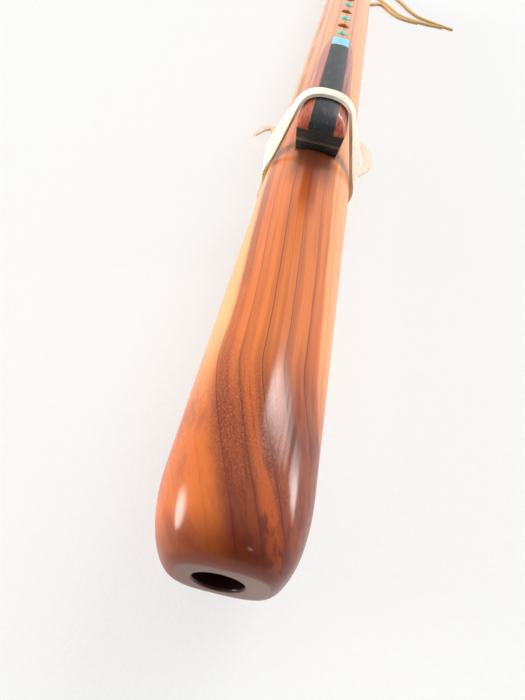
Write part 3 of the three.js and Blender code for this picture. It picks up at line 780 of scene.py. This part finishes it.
def nestCutter():
    over = bodyRadius + hollows["overrun"]
    start, end = nest["start"], nest["end"]
    outline = [(start, nestHeight), (end, nestHeight), (end + nest["runOut"], over), (start, over)]
    return prismObject("nest", outline, 2 * over)


def fingerHoleCutter(index):
    h = fingerHoles
    flareStart = bodyRadius - h["flareDepth"]
    profile = [(0, 0), (0, h["radius"]), (flareStart, h["radius"])]
    for angle in quarterTurn(h["flareSteps"]):
        out = h["radius"] + h["flare"] * (1 - math.cos(angle))
        profile.append((flareStart + h["flareDepth"] * math.sin(angle), out))
    top = bodyRadius + hollows["overrun"]
    profile += [(top, h["radius"] + h["flare"]), (top, 0)]
    centre = flutePoint(h["first"] + index * h["spacing"], 0, 0)
    return turnedObject("fingerHole", profile, centre, (0, 0, 1), h["segments"])


def dotPocketCutter(index):
    radius, floor = dots["radius"] + dots["gap"], bodyRadius - dots["thickness"] - dots["gap"]
    top = bodyRadius + hollows["overrun"]
    profile = [(floor, 0), (floor, radius), (top, radius), (top, 0)]
    centre = flutePoint(dots["first"] + index * dots["spacing"], 0, 0)
    return turnedObject("dotPocket", profile, centre, (0, 0, 1), dots["segments"])


def bodyCutters(side):
    h = hollows
    cutters = [
        boreCutter("slowChamber", h["slowStart"], h["plugStart"]),
        boreCutter("soundChamber", h["plugEnd"], bodyLength + 2 * h["boreRadius"]),
        breathCutter(),
    ]
    if side > 0:
        cutters += [nestCutter()] + voicingCutters()
        cutters += [fingerHoleCutter(k) for k in range(fingerHoles["count"])]
        cutters += [dotPocketCutter(k) for k in range(dots["count"])]
    return cutters


cedar = cedarFinish(cedarLook)
for name, side, node in (("upperHalf", 1, "body_upper_half"), ("lowerHalf", -1, "body_lower_half")):
    half = bodyHalf(name, side)
    cutAway(half, bodyCutters(side))
    softShade(half, bodyShape["sharpAngle"])
    finishPiece(half, cedar, "flute", [node])
    print("body", name, len(half.data.polygons), "faces")


# Geometry Nodes trees
def newTree(name, sockets):
    tree = bpy.data.node_groups.new(name, "GeometryNodeTree")
    for side in ("INPUT", "OUTPUT"):
        tree.interface.new_socket("Geometry", in_out=side, socket_type="NodeSocketGeometry")
    for label, kind, value in sockets:
        made = tree.interface.new_socket(label, in_out="INPUT", socket_type="NodeSocket" + kind)
        if value is not None:
            made.default_value = value
    return NodeBuilder(tree)


def endTree(g, geometry, material):
    real = g.add("GeometryNodeRealizeInstances", {0: geometry})
    dressed = g.add("GeometryNodeSetMaterial", {"Geometry": real, "Material": material})
    g.node("NodeGroupOutput", {0: dressed})
    return g.tree


def runTree(made, tree, values):
    modifier = made.modifiers.new("nodes", "NODES")
    modifier.node_group = tree
    inputs = [item for item in tree.interface.items_tree if item.in_out == "INPUT"]
    identifiers = {item.name: item.identifier for item in inputs}
    for name, value in values.items():
        modifier[identifiers[name]] = value
    plainMesh(made)


# A flat band along a line whose points say which way it faces. It is a little uneven, and its cut
# edges are marked for the leather.
def bandTree():
    g = newTree("wound band", [
        ("Width", "Float", 0.01), ("Thickness", "Float", 0.001), ("Edge", "Float", 0.0003),
        ("Edge Steps", "Int", 4), ("Unevenness", "Float", 0.0002), ("Ripple Scale", "Float", 420),
        ("Ripple Detail", "Float", 2), ("Material", "Material", None),
    ])
    group = g.node("NodeGroupInput").outputs
    line = g.add("GeometryNodeMeshToCurve", {"Mesh": group["Geometry"]})
    out = g.add("GeometryNodeInputNamedAttribute", {"Name": "out"}, data_type="FLOAT_VECTOR")
    facing = g.add("GeometryNodeSetCurveNormal", {"Curve": line, "Normal": out}, mode="FREE")
    flat = g.add(
        "GeometryNodeCurvePrimitiveQuadrilateral", {"Width": group["Thickness"], "Height": group["Width"]}
    )
    corners = {"Curve": flat, "Count": group["Edge Steps"], "Radius": group["Edge"], "Limit Radius": True}
    rounded = g.add("GeometryNodeFilletCurve", corners, mode="POLY")
    across = g.node("ShaderNodeSeparateXYZ", {0: g.add("GeometryNodeInputPosition")}).outputs["Y"]
    half = g.times(group["Width"], 0.5)
    cut = g.add("ShaderNodeMapRange", {
        "Value": g.maths("ABSOLUTE", across), "From Min": g.minus(half, group["Edge"]), "From Max": half,
    })
    mark = {"Geometry": rounded, "Name": "cutEdge", "Value": cut}
    marked = g.add("GeometryNodeStoreNamedAttribute", mark, domain="POINT")
    band = g.add("GeometryNodeCurveToMesh", {"Curve": facing, "Profile Curve": marked, "Fill Caps": True})
    ripple = {"Scale": group["Ripple Scale"], "Detail": group["Ripple Detail"]}
    rippled = g.minus(g.node("ShaderNodeTexNoise", ripple).outputs["Fac"], 0.5)
    shift = g.add(
        "ShaderNodeVectorMath",
        {0: g.add("GeometryNodeInputNormal"), "Scale": g.times(rippled, group["Unevenness"])},
        operation="SCALE",
    )
    uneven = g.add("GeometryNodeSetPosition", {"Geometry": band, "Offset": shift})
    return endTree(g, uneven, group["Material"])


# Stones in a row along the body, each with a tone of its own.
def dotTree():
    g = newTree("stones in a row", [
        ("Stone", "Object", None), ("Count", "Int", 1), ("First", "Vector", (0, 0, 0)),
        ("Spacing", "Float", 0.03), ("Seed", "Int", 1), ("Material", "Material", None),
    ])
    group = g.node("NodeGroupInput").outputs
    row = g.add("GeometryNodeMeshLine", {
        "Count": group["Count"], "Start Location": group["First"],
        "Offset": g.add("ShaderNodeCombineXYZ", {0: group["Spacing"]}),
    })
    stone = g.node("GeometryNodeObjectInfo", {"Object": group["Stone"]}).outputs["Geometry"]
    placed = g.add("GeometryNodeInstanceOnPoints", {"Points": row, "Instance": stone})
    tone = g.node("FunctionNodeRandomValue", {"Seed": group["Seed"]}, data_type="FLOAT").outputs[1]
    mark = {"Geometry": placed, "Name": "stoneTone", "Value": tone}
    toned = g.add("GeometryNodeStoreNamedAttribute", mark, domain="INSTANCE")
    return endTree(g, toned, group["Material"])


# Turquoise dots
def dotStoneForm():
    radius = dots["radius"]
    shoulder = math.sqrt(bodyRadius ** 2 - radius ** 2)
    floor = bodyRadius - dots["thickness"]
    rise = bodyRadius + dots["crown"] - shoulder
    profile = [(floor, 0), (floor, radius), (shoulder, radius)]
    for angle in quarterTurn(dots["crownSteps"]):
        profile.append((shoulder + rise * math.sin(angle), radius * math.cos(angle)))
    profile[-1] = (profile[-1][0], 0)
    return turnedObject("stone", profile, Vector((0, 0, 0)), (0, 0, 1), dots["segments"])


dotStone = stoneFinish("dot stone", {
    **stoneLook, "base": (96, 200, 184), "pale": (150, 222, 204), "own": (128, 196, 152), "veinShare": 0.5,
})
stoneForm = dotStoneForm()
dotRow = meshObject("turquoiseDots", [(0, 0, 0)], [])
runTree(dotRow, dotTree(), {
    "Stone": stoneForm, "Count": dots["count"], "First": flutePoint(dots["first"], 0, 0),
    "Spacing": dots["spacing"] * mm, "Seed": dots["seed"], "Material": dotStone,
})
bpy.data.objects.remove(stoneForm)
softShade(dotRow, dots["sharpAngle"])
dotNodes = [f"turquoise_dot_{k + 1}" for k in range(dots["count"])]
finishPiece(dotRow, dotStone, "flute", dotNodes)
print("dots set")


# Block: base, ebony core, two cheeks and a turquoise tip
block = {
    "start": 168, "length": 112, "width": 21.2, "baseHeight": 8.5, "domeHeight": 7.9,
    "ridgeHeight": 4.3, "ridgeStep": 0.6, "ridgeHollow": 0.55, "hollowPower": 1.6, "stepPower": 0.8,
    "corner": 0.5,
    "coreFrontWidth": 10.7, "coreEndWidth": 8.7, "tipLength": 24, "tipGap": 0.05, "cheekSetback": 8,
    "chimneyLength": 20.5, "chimneyHeight": 5.6, "chimneySteps": 20, "domePower": 2.6,
    "stations": 110, "stripSteps": 26, "baseStations": 60, "baseLayers": 18,
    "seam": 0.22, "seamDepth": 0.1, "leastHeight": 0.02, "stripSharpAngle": 35, "baseSharpAngle": 30,
}
# Tables of (share of the block's length, share of its full width or height)
blockWidthShares = [
    (0, 0.95), (0.05, 1), (0.18, 1), (0.42, 0.9), (0.68, 0.84), (0.82, 0.77), (0.9, 0.7), (0.96, 0.62),
    (1, 0.54),
]
blockHeightShares = [
    (0, 0.1), (0.02, 0.42), (0.055, 0.72), (0.1, 0.9), (0.155, 1), (0.5, 0.99), (0.8, 0.94), (0.9, 0.86),
    (0.96, 0.66), (1, 0.14),
]
baseTop = nestHeight + block["baseHeight"]
blockEnd = block["start"] + block["length"]
crest = baseTop + block["domeHeight"]
nestHalfWidth = math.sqrt(bodyRadius ** 2 - nestHeight ** 2)


def blockShare(x):
    return min(max((x - block["start"]) / block["length"], 0), 1)


def blockHalfWidth(x):
    return block["width"] / 2 * smoothShare(blockWidthShares, blockShare(x))


def coreHalfWidth(x):
    return mix(block["coreFrontWidth"], block["coreEndWidth"], blockShare(x)) / 2


def domeTop(x, y):
    power = block["domePower"]
    out = min(abs(y) / blockHalfWidth(x), 1)
    rise = block["domeHeight"] * smoothShare(blockHeightShares, blockShare(x))
    return baseTop + rise * (1 - out ** power) ** (1 / power)


# Places between two ends, closer together towards each end.
def easedPlaces(start, end, count):
    return [mix(start, end, (1 - math.cos(math.pi * k / count)) / 2) for k in range(count + 1)]


# One strip of the dome between two sides, with a fine groove along the edges of the core.
def stripObject(name, start, end, sides):
    rings = []
    for x in easedPlaces(start, end, block["stations"]):
        inner, outer = sides(x)
        ring = []
        for y in easedPlaces(inner, outer, block["stripSteps"]):
            z = domeTop(x, y)
            for seam in coreSides(x):
                near = max(0, 1 - abs(y - seam) / block["seam"])
                z -= block["seamDepth"] * near * near
            ring.append(flutePoint(x, y, max(z, baseTop + block["leastHeight"])))
        ring += [flutePoint(x, outer, baseTop), flutePoint(x, inner, baseTop)]
        rings.append(ring)
    return loftObject(name, rings)


# The sides of the core and of each cheek at a place, from right to left.
def coreSides(x):
    return -coreHalfWidth(x), coreHalfWidth(x)


def leftCheekSides(x):
    return coreHalfWidth(x), blockHalfWidth(x)


def rightCheekSides(x):
    return -blockHalfWidth(x), -coreHalfWidth(x)


ebony = ebonyFinish(ebonyLook)
rosewood = rosewoodFinish(rosewoodLook)
tipStone = stoneFinish("tip stone", {
    **stoneLook, "base": (70, 200, 238), "pale": (130, 226, 246), "own": (70, 200, 238), "veinShare": 0.12,
})
tipStart = blockEnd - block["tipLength"]
frontX = block["start"] + block["ridgeStep"]
cheekEnd = blockEnd - block["cheekSetback"]
coreEnd = tipStart - block["tipGap"]
strips = {
    "blockCore": ("block_core", ebony, "ebony", frontX, coreEnd, coreSides),
    "blockTip": ("block_turquoise_tip", tipStone, "turquoise", tipStart, blockEnd, coreSides),
    "blockLeftCheek": ("block_left_cheek", rosewood, "rosewood", frontX, cheekEnd, leftCheekSides),
    "blockRightCheek": ("block_right_cheek", rosewood, "rosewood", frontX, cheekEnd, rightCheekSides),
}
for name, (node, material, slot, start, end, sides) in strips.items():
    strip = stripObject(name, start, end, sides)
    softShade(strip, block["stripSharpAngle"])
    finishPiece(strip, material, "block", [node])


# How far back the base's front lies at a height. It runs out to a ridge, and steps in above it.
def baseFront(height):
    ridge = block["ridgeHeight"]
    if height < ridge:
        return block["ridgeHollow"] * (1 - height / ridge) ** block["hollowPower"]
    above = (height - ridge) / (block["baseHeight"] - ridge)
    return block["ridgeStep"] * above ** block["stepPower"]


# The base is as narrow as its nest at the bottom, and leans out to its full width.
def baseLayer(height):
    rise = height / block["baseHeight"]
    front = block["start"] + baseFront(height)
    outline = []
    for x in easedPlaces(front, blockEnd, block["baseStations"]):
        full = blockHalfWidth(x)
        corner = block["corner"] * max(0, 1 - (x - front) / block["corner"]) ** 2
        outline.append((x, mix(min(full, nestHalfWidth), full, rise) - corner))
    z = nestHeight + height
    return [flutePoint(x, y, z) for x, y in outline] + [flutePoint(x, -y, z) for x, y in reversed(outline)]


def chimneyCutter():
    halfWidth, low = voicing["width"] / 2, nestHeight - hollows["overrun"]
    springing = nestHeight + block["chimneyHeight"] - halfWidth / 2
    outline = [(halfWidth, low)]
    for k in range(block["chimneySteps"] + 1):
        angle = math.pi * k / block["chimneySteps"]
        outline.append((halfWidth * math.cos(angle), springing + halfWidth / 2 * math.sin(angle)))
    outline.append((-halfWidth, low))
    ends = (blockEnd - block["chimneyLength"], blockEnd + hollows["overrun"])
    return loftObject("chimney", [[flutePoint(x, y, z) for y, z in outline] for x in ends])


darkWood = darkWoodFinish(darkWoodLook, axisHeight + nestHeight + block["ridgeHeight"])
baseHeights = [block["baseHeight"] * k / block["baseLayers"] for k in range(block["baseLayers"] + 1)]
base = loftObject("blockBase", [baseLayer(height) for height in baseHeights])
cutAway(base, [chimneyCutter()])
softShade(base, block["baseSharpAngle"])
finishPiece(base, darkWood, "block", ["block_base"])
print("block laid up")


# Windings of strap and lace
strap = {
    "width": 6.8, "thickness": 0.75, "pitch": 0.78, "firstRise": 0.45, "crestX": 183.4, "footX": 164.2,
    "leanPower": 1.8, "leftTwist": 42, "rightTwist": 30, "edge": 0.35, "unevenness": 0.2,
    "tuck": 6.5, "tuckFrom": 15, "tuckTo": -4,
    "turns": 2, "endAngle": 20, "riseAngle": 90, "stations": 420, "bendLength": 10,
    "angleStep": 0.5, "freeStep": 0.8, "sectionSteps": 96, "paleBelowCrest": 2,
}
lace = {
    "width": 4, "thickness": 1.5, "turnGap": 1, "seatGap": 0.3, "turns": 4, "footDistance": 51,
    "edge": 0.5, "unevenness": 0.22, "stationsPerTurn": 90,
}
laceMiddle = bodyLength - lace["footDistance"]
strapLeather = leatherFinish("strap leather", strapLook, axisHeight + crest - strap["paleBelowCrest"])
tailLeather = leatherFinish("tail leather", tailLook)
laceLeather = leatherFinish("lace leather", laceLook)
windingNodes = bandTree()
bandSharpAngle = 50


# A band wound along a line, made by the band tree.
def windingObject(name, points, outs, sizes, material):
    line = bpy.data.meshes.new(name)
    line.from_pydata([tuple(p) for p in points], [(k, k + 1) for k in range(len(points) - 1)], [])
    direction = line.attributes.new("out", "FLOAT_VECTOR", "POINT")
    direction.data.foreach_set("vector", [c for out in outs for c in out])
    made = bpy.data.objects.new(name, line)
    scene.collection.objects.link(made)
    values = {key.capitalize(): sizes[key] * mm for key in ("width", "thickness", "edge", "unevenness")}
    runTree(made, windingNodes, {**values, "Material": material})
    return made


# Where a taut band faces each angle of its winding: (angle wound, direction out, what it lies on).
# Its free spans have extra stations, so that it can twist there.
def tautRests():
    steps = strap["sectionSteps"]
    section = []
    for k in range(steps + 1):
        across, up = superPoint(math.pi * k / steps, block["domePower"])
        section.append(Vector((0, across * block["width"] / 2, baseTop + up * block["domeHeight"])))
    sweep = strap["turns"] * 360 - 2 * strap["endAngle"]
    rests = []
    for k in range(math.floor(sweep / strap["angleStep"]) + 1):
        wound = k * strap["angleStep"]
        angle = math.radians(strap["endAngle"] - 90 + wound)
        out = Vector((0, math.cos(angle), math.sin(angle)))
        at = max([out * bodyRadius] + section, key=lambda corner: corner.dot(out))
        span = (at - rests[-1][2]).length if rests else 0
        extra = math.floor(span / strap["freeStep"])
        if extra > 1:
            last = rests[-1][2]
            rests += [(wound, out, last.lerp(at, i / extra)) for i in range(1, extra)]
        rests.append((wound, out, at))
    return rests


# The band leans from the crest to the foot of its legs, which twist about their edge towards the mouth.
# Low on the body it goes back towards the foot.
def strapLine():
    points, outs = [], []
    for wound, out, rest in tautRests():
        passed = math.floor(wound / 360)
        late = smoothStep(wound - passed * 360, 360 - strap["riseAngle"], 360)
        rise = max(0, rest.z / crest)
        mostTwist = strap["leftTwist"] if rest.y > 0 else strap["rightTwist"]
        twist = math.radians(mostTwist) * math.sin(rise * math.pi)
        face = out * math.cos(twist) - Vector((math.sin(twist), 0, 0))
        at = rest + out * (strap["width"] / 2 * math.sin(twist))
        at.x = mix(strap["footX"], strap["crestX"], rise ** strap["leanPower"])
        at.x += strap["width"] / 2 * math.cos(twist)
        at.x += strap["tuck"] * smoothStep(-rest.z, -strap["tuckFrom"], -strap["tuckTo"])
        at += face * (strap["firstRise"] + (passed + late) * strap["pitch"])
        points.append(flutePoint(*at))
        outs.append(face)
    return points, outs


# Even places along a line: the stretch that each lies in, and its share of that stretch.
def evenPlaces(along, count):
    k = 1
    for i in range(count + 1):
        place = along[-1] * i / count
        while k < len(along) - 1 and along[k] < place:
            k += 1
        yield k, (place - along[k - 1]) / (along[k] - along[k - 1])


# Stations spread evenly along a line, closer together where it bends.
def spreadStations(points, outs, count, bendLength):
    along = [0.0]
    for i in range(1, len(points)):
        step = (points[i] - points[i - 1]).length
        along.append(along[-1] + step + bendLength * mm * outs[i].angle(outs[i - 1]))
    places, ways = [], []
    for k, share in evenPlaces(along, count):
        places.append(points[k - 1].lerp(points[k], share))
        ways.append(outs[k - 1].lerp(outs[k], share).normalized())
    return places, ways


def laceLine():
    pitch = lace["width"] + lace["turnGap"]
    radius = bodyRadius + lace["seatGap"] + lace["thickness"] / 2
    start = laceMiddle - lace["turns"] * pitch / 2
    points, outs = [], []
    for k in range(lace["turns"] * lace["stationsPerTurn"] + 1):
        turn = k / lace["stationsPerTurn"]
        angle = 2 * math.pi * turn - math.pi / 2
        out = Vector((0, math.cos(angle), math.sin(angle)))
        points.append(flutePoint(start + turn * pitch, out.y * radius, out.z * radius))
        outs.append(out)
    return points, outs


strapStations = spreadStations(*strapLine(), strap["stations"], strap["bendLength"])
strapBand = windingObject("strapWinding", *strapStations, strap, strapLeather)
softShade(strapBand, bandSharpAngle)
finishPiece(strapBand, strapLeather, "flute", ["strap_winding"])
laceBand = windingObject("footLaceWinding", *laceLine(), lace, laceLeather)
softShade(laceBand, bandSharpAngle)
finishPiece(laceBand, laceLeather, "flute", ["foot_lace_winding"])
print("strap and lace wound")


# Free ends: the strap's two tails and the three fringe strands, flat thongs on the floor
tailSizes = {
    "width": 5, "thickness": 1.2, "edge": 0.35, "point": 14, "tipShare": 0.3, "stations": 110,
    "wander": 0.12,
}
strandSizes = {
    "width": 5, "thickness": 2.3, "edge": 0.9, "point": 20, "tipShare": 0.3, "stations": 150,
    "wander": 0.12,
}
floorClearance = 0.05
lineSteps = 24
tailFinish = {"sizes": tailSizes, "leather": tailLeather, "slot": "strap_leather"}
strandFinish = {"sizes": strandSizes, "leather": laceLeather, "slot": "lace_leather"}
thongs = {
    "strapTailLeft": {**tailFinish, "node": "strap_tail_left", "route": [
        (167.6, 7.4), (167.6, 10), (169.4, 15), (176, 19), (190, 21), (210, 22), (232, 22.4), (252, 22.8),
        (266, 24.4), (273.4, 28.2), (271.8, 32.6), (266, 35.2), (259.5, 37.4),
    ]},
    "strapTailRight": {**tailFinish, "node": "strap_tail_right", "route": [
        (167.6, -7.4), (167.6, -10), (169.6, -14.8), (177, -18.8), (196, -20.6), (218, -21.6), (234, -23.6),
        (243, -28), (250, -32), (259, -33.8), (268.5, -32.8), (277, -30.2), (283.5, -26.4),
    ]},
    "fringeStrandOne": {**strandFinish, "node": "fringe_strand_1", "route": [
        (629.3, -2.8), (634, -3), (641, -4.2), (648.5, -7.5), (654, -13), (656.4, -19.5), (655, -26),
        (650, -31.4), (642, -36.2), (632.5, -41.4), (620.6, -46.6), (610, -51.4), (600.6, -56.6),
        (595.2, -62.6), (592.8, -69.6), (591.6, -77), (590.6, -84.5), (590.6, -91), (591.2, -98),
        (591, -104),
    ]},
    "fringeStrandTwo": {**strandFinish, "node": "fringe_strand_2", "route": [
        (629.3, 2.8), (636, 2.6), (646, 1.4), (657, -2.4), (666.5, -9), (673, -17.5), (676.6, -27),
        (676.4, -37), (673, -46), (666.5, -53.4), (655.6, -59.4), (642.5, -64.2), (629, -69),
        (617.6, -74.2), (610.4, -79.6), (606.2, -85.4), (603, -91.4), (600.8, -97), (598.2, -103),
        (595.2, -109), (593.2, -115.5),
    ]},
    "fringeStrandThree": {**strandFinish, "node": "fringe_strand_3", "route": [
        (616.4, -7.5), (616.3, -11), (614.8, -16.5), (614.2, -22), (617.4, -26.8), (622.4, -30.6),
        (625.2, -34.6), (623.4, -38.6), (616.6, -42), (607.4, -46), (598.4, -50.6), (591.2, -56.4),
        (587.4, -63), (586.2, -70), (586.4, -77),
    ]},
}


# A smooth line through points, with its bends shared out by their spacing.
def smoothLine(points, steps):
    points = [points[0] * 2 - points[1]] + points + [points[-1] * 2 - points[-2]]
    line = []
    for i in range(1, len(points) - 2):
        p0, p1, p2, p3 = points[i - 1:i + 3]
        t1 = (p1 - p0).length ** 0.5
        t2 = t1 + (p2 - p1).length ** 0.5
        t3 = t2 + (p3 - p2).length ** 0.5
        for k in range(steps):
            t = mix(t1, t2, k / steps)
            a1 = p0 * ((t1 - t) / t1) + p1 * (t / t1)
            a2 = p1 * ((t2 - t) / (t2 - t1)) + p2 * ((t - t1) / (t2 - t1))
            a3 = p2 * ((t3 - t) / (t3 - t2)) + p3 * ((t - t2) / (t3 - t2))
            b1 = a1 * ((t2 - t) / t2) + a2 * (t / t2)
            b2 = a2 * ((t3 - t) / (t3 - t1)) + a3 * ((t - t1) / (t3 - t1))
            line.append(b1 * ((t2 - t) / (t2 - t1)) + b2 * ((t - t1) / (t2 - t1)))
    line.append(points[-2].copy())
    return line


# The line with its points spread evenly, and its length.
def evenLine(points, count):
    along = [0.0]
    for before, after in zip(points, points[1:]):
        along.append(along[-1] + (after - before).length)
    line = [points[k - 1].lerp(points[k], share) for k, share in evenPlaces(along, count)]
    return line, along[-1]


# Steps across a flat band and round its edges, how far its corners belong to the cut edge, and how
# many bumps a metre of it has, large and small
bandForm = {"flatSteps": 8, "edgeSteps": 4, "nearEdge": 0.3, "coarse": 260, "fine": 1400}


# The outline of a flat band: (across, out, how much it belongs to the cut edge).
def bandSection(width, thickness, edge):
    halfWidth, halfThickness = width / 2, thickness / 2
    flatSteps, edgeSteps, nearEdge = (bandForm[key] for key in ("flatSteps", "edgeSteps", "nearEdge"))
    points = []
    for side in (1, -1):
        for k in range(flatSteps):
            points.append((side * mix(-1, 1, k / flatSteps) * (halfWidth - edge), side * halfThickness, 0))
        for corner in (1, -1):
            for k in range(edgeSteps + 1):
                turned = 1 - k / edgeSteps if corner > 0 else -k / edgeSteps
                angle = math.pi / 2 * turned
                y = side * (halfWidth - edge + edge * math.cos(angle))
                z = side * (corner * (halfThickness - edge) + edge * math.sin(angle))
                points.append((y, z, nearEdge if abs(turned) == 1 else 1))
    return points


# A flat band along a line that lies level, with its cut edges roughened and marked for the leather.
def levelBand(name, line, section, widthShare, wander):
    rings, marks = [], []
    up = Vector((0, 0, 1))
    for i, at in enumerate(line):
        along = (line[min(i + 1, len(line) - 1)] - line[max(i - 1, 0)]).normalized()
        across = along.cross(up).normalized()
        face = across.cross(along)
        share = widthShare(i)
        ring = []
        for sideways, outward, cut in section:
            rough = noise.noise((at + across * sideways * mm) * bandForm["coarse"]) * wander
            if cut > 0:
                rough += noise.noise((at + face * outward * mm) * bandForm["fine"]) * wander
            width = sideways * share + math.copysign(rough, sideways) * cut
            ring.append(at + (across * width + face * outward) * mm)
            marks.append(cut)
        rings.append(ring)
    made = loftObject(name, rings)
    mark = made.data.attributes.new("cutEdge", "FLOAT", "POINT")
    mark.data.foreach_set("value", marks)
    return made


def thongObject(name, route, sizes):
    rest = sizes["thickness"] / 2 + floorClearance
    points = [floorPoint(x, y, rest) for x, y in route]
    line, length = evenLine(smoothLine(points, lineSteps), sizes["stations"])

    def widthShare(i):
        left = length / mm * (1 - i / sizes["stations"])
        return mix(sizes["tipShare"], 1, min(1, left / sizes["point"]))

    section = bandSection(sizes["width"], sizes["thickness"], sizes["edge"])
    return levelBand(name, line, section, widthShare, sizes["wander"]), line, length


for name, facts in thongs.items():
    made, line, length = thongObject(name, facts["route"], facts["sizes"])
    softShade(made, bandSharpAngle)
    finishPiece(made, facts["leather"], "flute", [facts["node"]])
    print("thong", name, round(length, 4))


# Knots: two bights drawn tight through each other
knots = {
    "strap": {"centre": 171, "length": 14, "width": 10, "height": 4.35, "band": 4.2, "thickness": 1.2},
    "lace": {"centre": laceMiddle, "length": 14, "width": 16, "height": 5.1, "band": 4.2, "thickness": 1.6},
}
# A bight from its open ends round its loop: shares of the knot's half length and half width.
bightShares = [(1, 0.3), (0.62, 0.34), (0.2, 0.5), (-0.3, 0.66), (-0.62, 0.5), (-0.7, 0)]
bightSteps = {"between": 16, "stations": 70, "waves": 0.8, "edge": 0.45, "wander": 0.1}


def bightLine(sizes, side, startHigh):
    halfLength, halfWidth = sizes["length"] / 2, sizes["width"] / 2
    low = sizes["thickness"] / 2 + floorClearance
    high = sizes["height"] - sizes["thickness"] / 2
    points = []
    for u, v in bightShares + [(u, -v) for u, v in reversed(bightShares[:-1])]:
        lift = (1 + math.cos(2 * math.pi * u * bightSteps["waves"])) / 2
        z = mix(low, high, lift if startHigh else 1 - lift)
        points.append(floorPoint(sizes["centre"] + v * halfWidth, side * u * halfLength, z))
    return evenLine(smoothLine(points, bightSteps["between"]), bightSteps["stations"])[0]


def knotObject(name, sizes, material, node):
    section = bandSection(sizes["band"], sizes["thickness"], bightSteps["edge"])
    bights = []
    for side, startHigh in ((1, True), (-1, False)):
        line = bightLine(sizes, side, startHigh)
        bights.append(levelBand(name, line, section, lambda i: 1, bightSteps["wander"]))
    first, second = bights
    work = bmesh.new()
    work.from_mesh(first.data)
    work.from_mesh(second.data)
    work.to_mesh(first.data)
    work.free()
    bpy.data.objects.remove(second)
    softShade(first, bandSharpAngle)
    finishPiece(first, material, "flute", [node])


knotObject("strapKnot", knots["strap"], strapLeather, "strap_knot")
knotObject("footLaceKnot", knots["lace"], laceLeather, "foot_lace_knot")
print("knots tied")


# Floor and light. The world is white, with soft glows in it that show as streaks in the lacquer.
# The floor's size is in metres.
studio = {
    "floorSize": 6,
    "cloth": (248, 248, 247),
    "plainShare": 0.68,
    "worldStrength": 0.53,
    "backdrop": 0.96,
}
# Each glow: azimuth, elevation, the radius where it is full and where it ends, all in degrees, and its
# strength. The first is the bright side of the room, beyond the flute. The next two are dark things,
# one in the middle of that side and one behind the camera.
glows = [
    (0, 30, 10, 95, 0.5),
    (2, 30, 3, 9, -0.95),
    (-174, 32, 8, 34, -0.5),
    (-17, 51, 0, 4, 14),
    (-24, 49, 1, 5, 19),
    (-31, 46.5, 1, 5, 18),
    (-38, 43, 1, 5, 16),
    (-44, 38.5, 1, 5, 15),
    (-50, 32.5, 0, 5, 14),
    (-55, 26, 0, 4.5, 9),
    (-62, 14, 0, 5.5, 12),
    (-67, 7, 1, 8, 18),
    (-73, 1, 0, 6, 9),
    (92, 4, 6, 19, 20),
    (-157, 37, 1, 3, 10),
]


# White cloth. The camera sees part of it plain white, so that shadows stay faint.
def clothFinish():
    f = Finish("white cloth")
    weave = f.noise((900, 900, 900), 3, 0.6)
    tufts = f.noise((240, 240, 240), 2, 0.6)
    plain = f.times(f.node("ShaderNodeLightPath").outputs["Is Camera Ray"], studio["plainShare"])
    return f.surface(
        Base_Color=f.blend(plain, studio["cloth"], (0, 0, 0)),
        Roughness=1.0,
        Specular_IOR_Level=0.0,
        Emission_Color=colour(*studio["cloth"]),
        Emission_Strength=plain,
        Normal=f.bump(f.plus(weave, tufts), distance=0.25, strength=0.6),
    )


def addFloor():
    size = studio["floorSize"] / 2
    corners = [(-size, -size, 0), (size, -size, 0), (size, size, 0), (-size, size, 0)]
    floor = meshObject("floor", corners, [(0, 1, 2, 3)])
    floor.data.materials.append(clothFinish())


def addWorld():
    world = bpy.data.worlds.new("white room")
    world.use_nodes = True
    w = NodeBuilder(world.node_tree)
    direction = w.node("ShaderNodeTexCoord").outputs["Generated"]
    light = studio["worldStrength"]
    for *angles, strength in glows:
        azimuth, elevation, inner, outer = (math.radians(angle) for angle in angles)
        level = math.cos(elevation)
        way = (math.cos(azimuth) * level, math.sin(azimuth) * level, math.sin(elevation))
        facing = w.node("ShaderNodeVectorMath", {0: direction, 1: way}, operation="DOT_PRODUCT")
        spread = {
            "Value": facing.outputs["Value"], "From Min": math.cos(outer), "From Max": math.cos(inner),
            "To Max": strength,
        }
        light = w.plus(light, w.add("ShaderNodeMapRange", spread, interpolation_type="SMOOTHSTEP"))
    seen = w.node("ShaderNodeLightPath").outputs["Is Camera Ray"]
    background = w.tree.nodes["Background"]
    background.inputs["Color"].default_value = (1, 1, 1, 1)
    shown = w.add("ShaderNodeMix", {0: seen, 2: light, 3: studio["backdrop"]}, data_type="FLOAT")
    w.feed(background.inputs["Strength"], shown)
    scene.world = world


addFloor()
addWorld()
print("floor and light set")
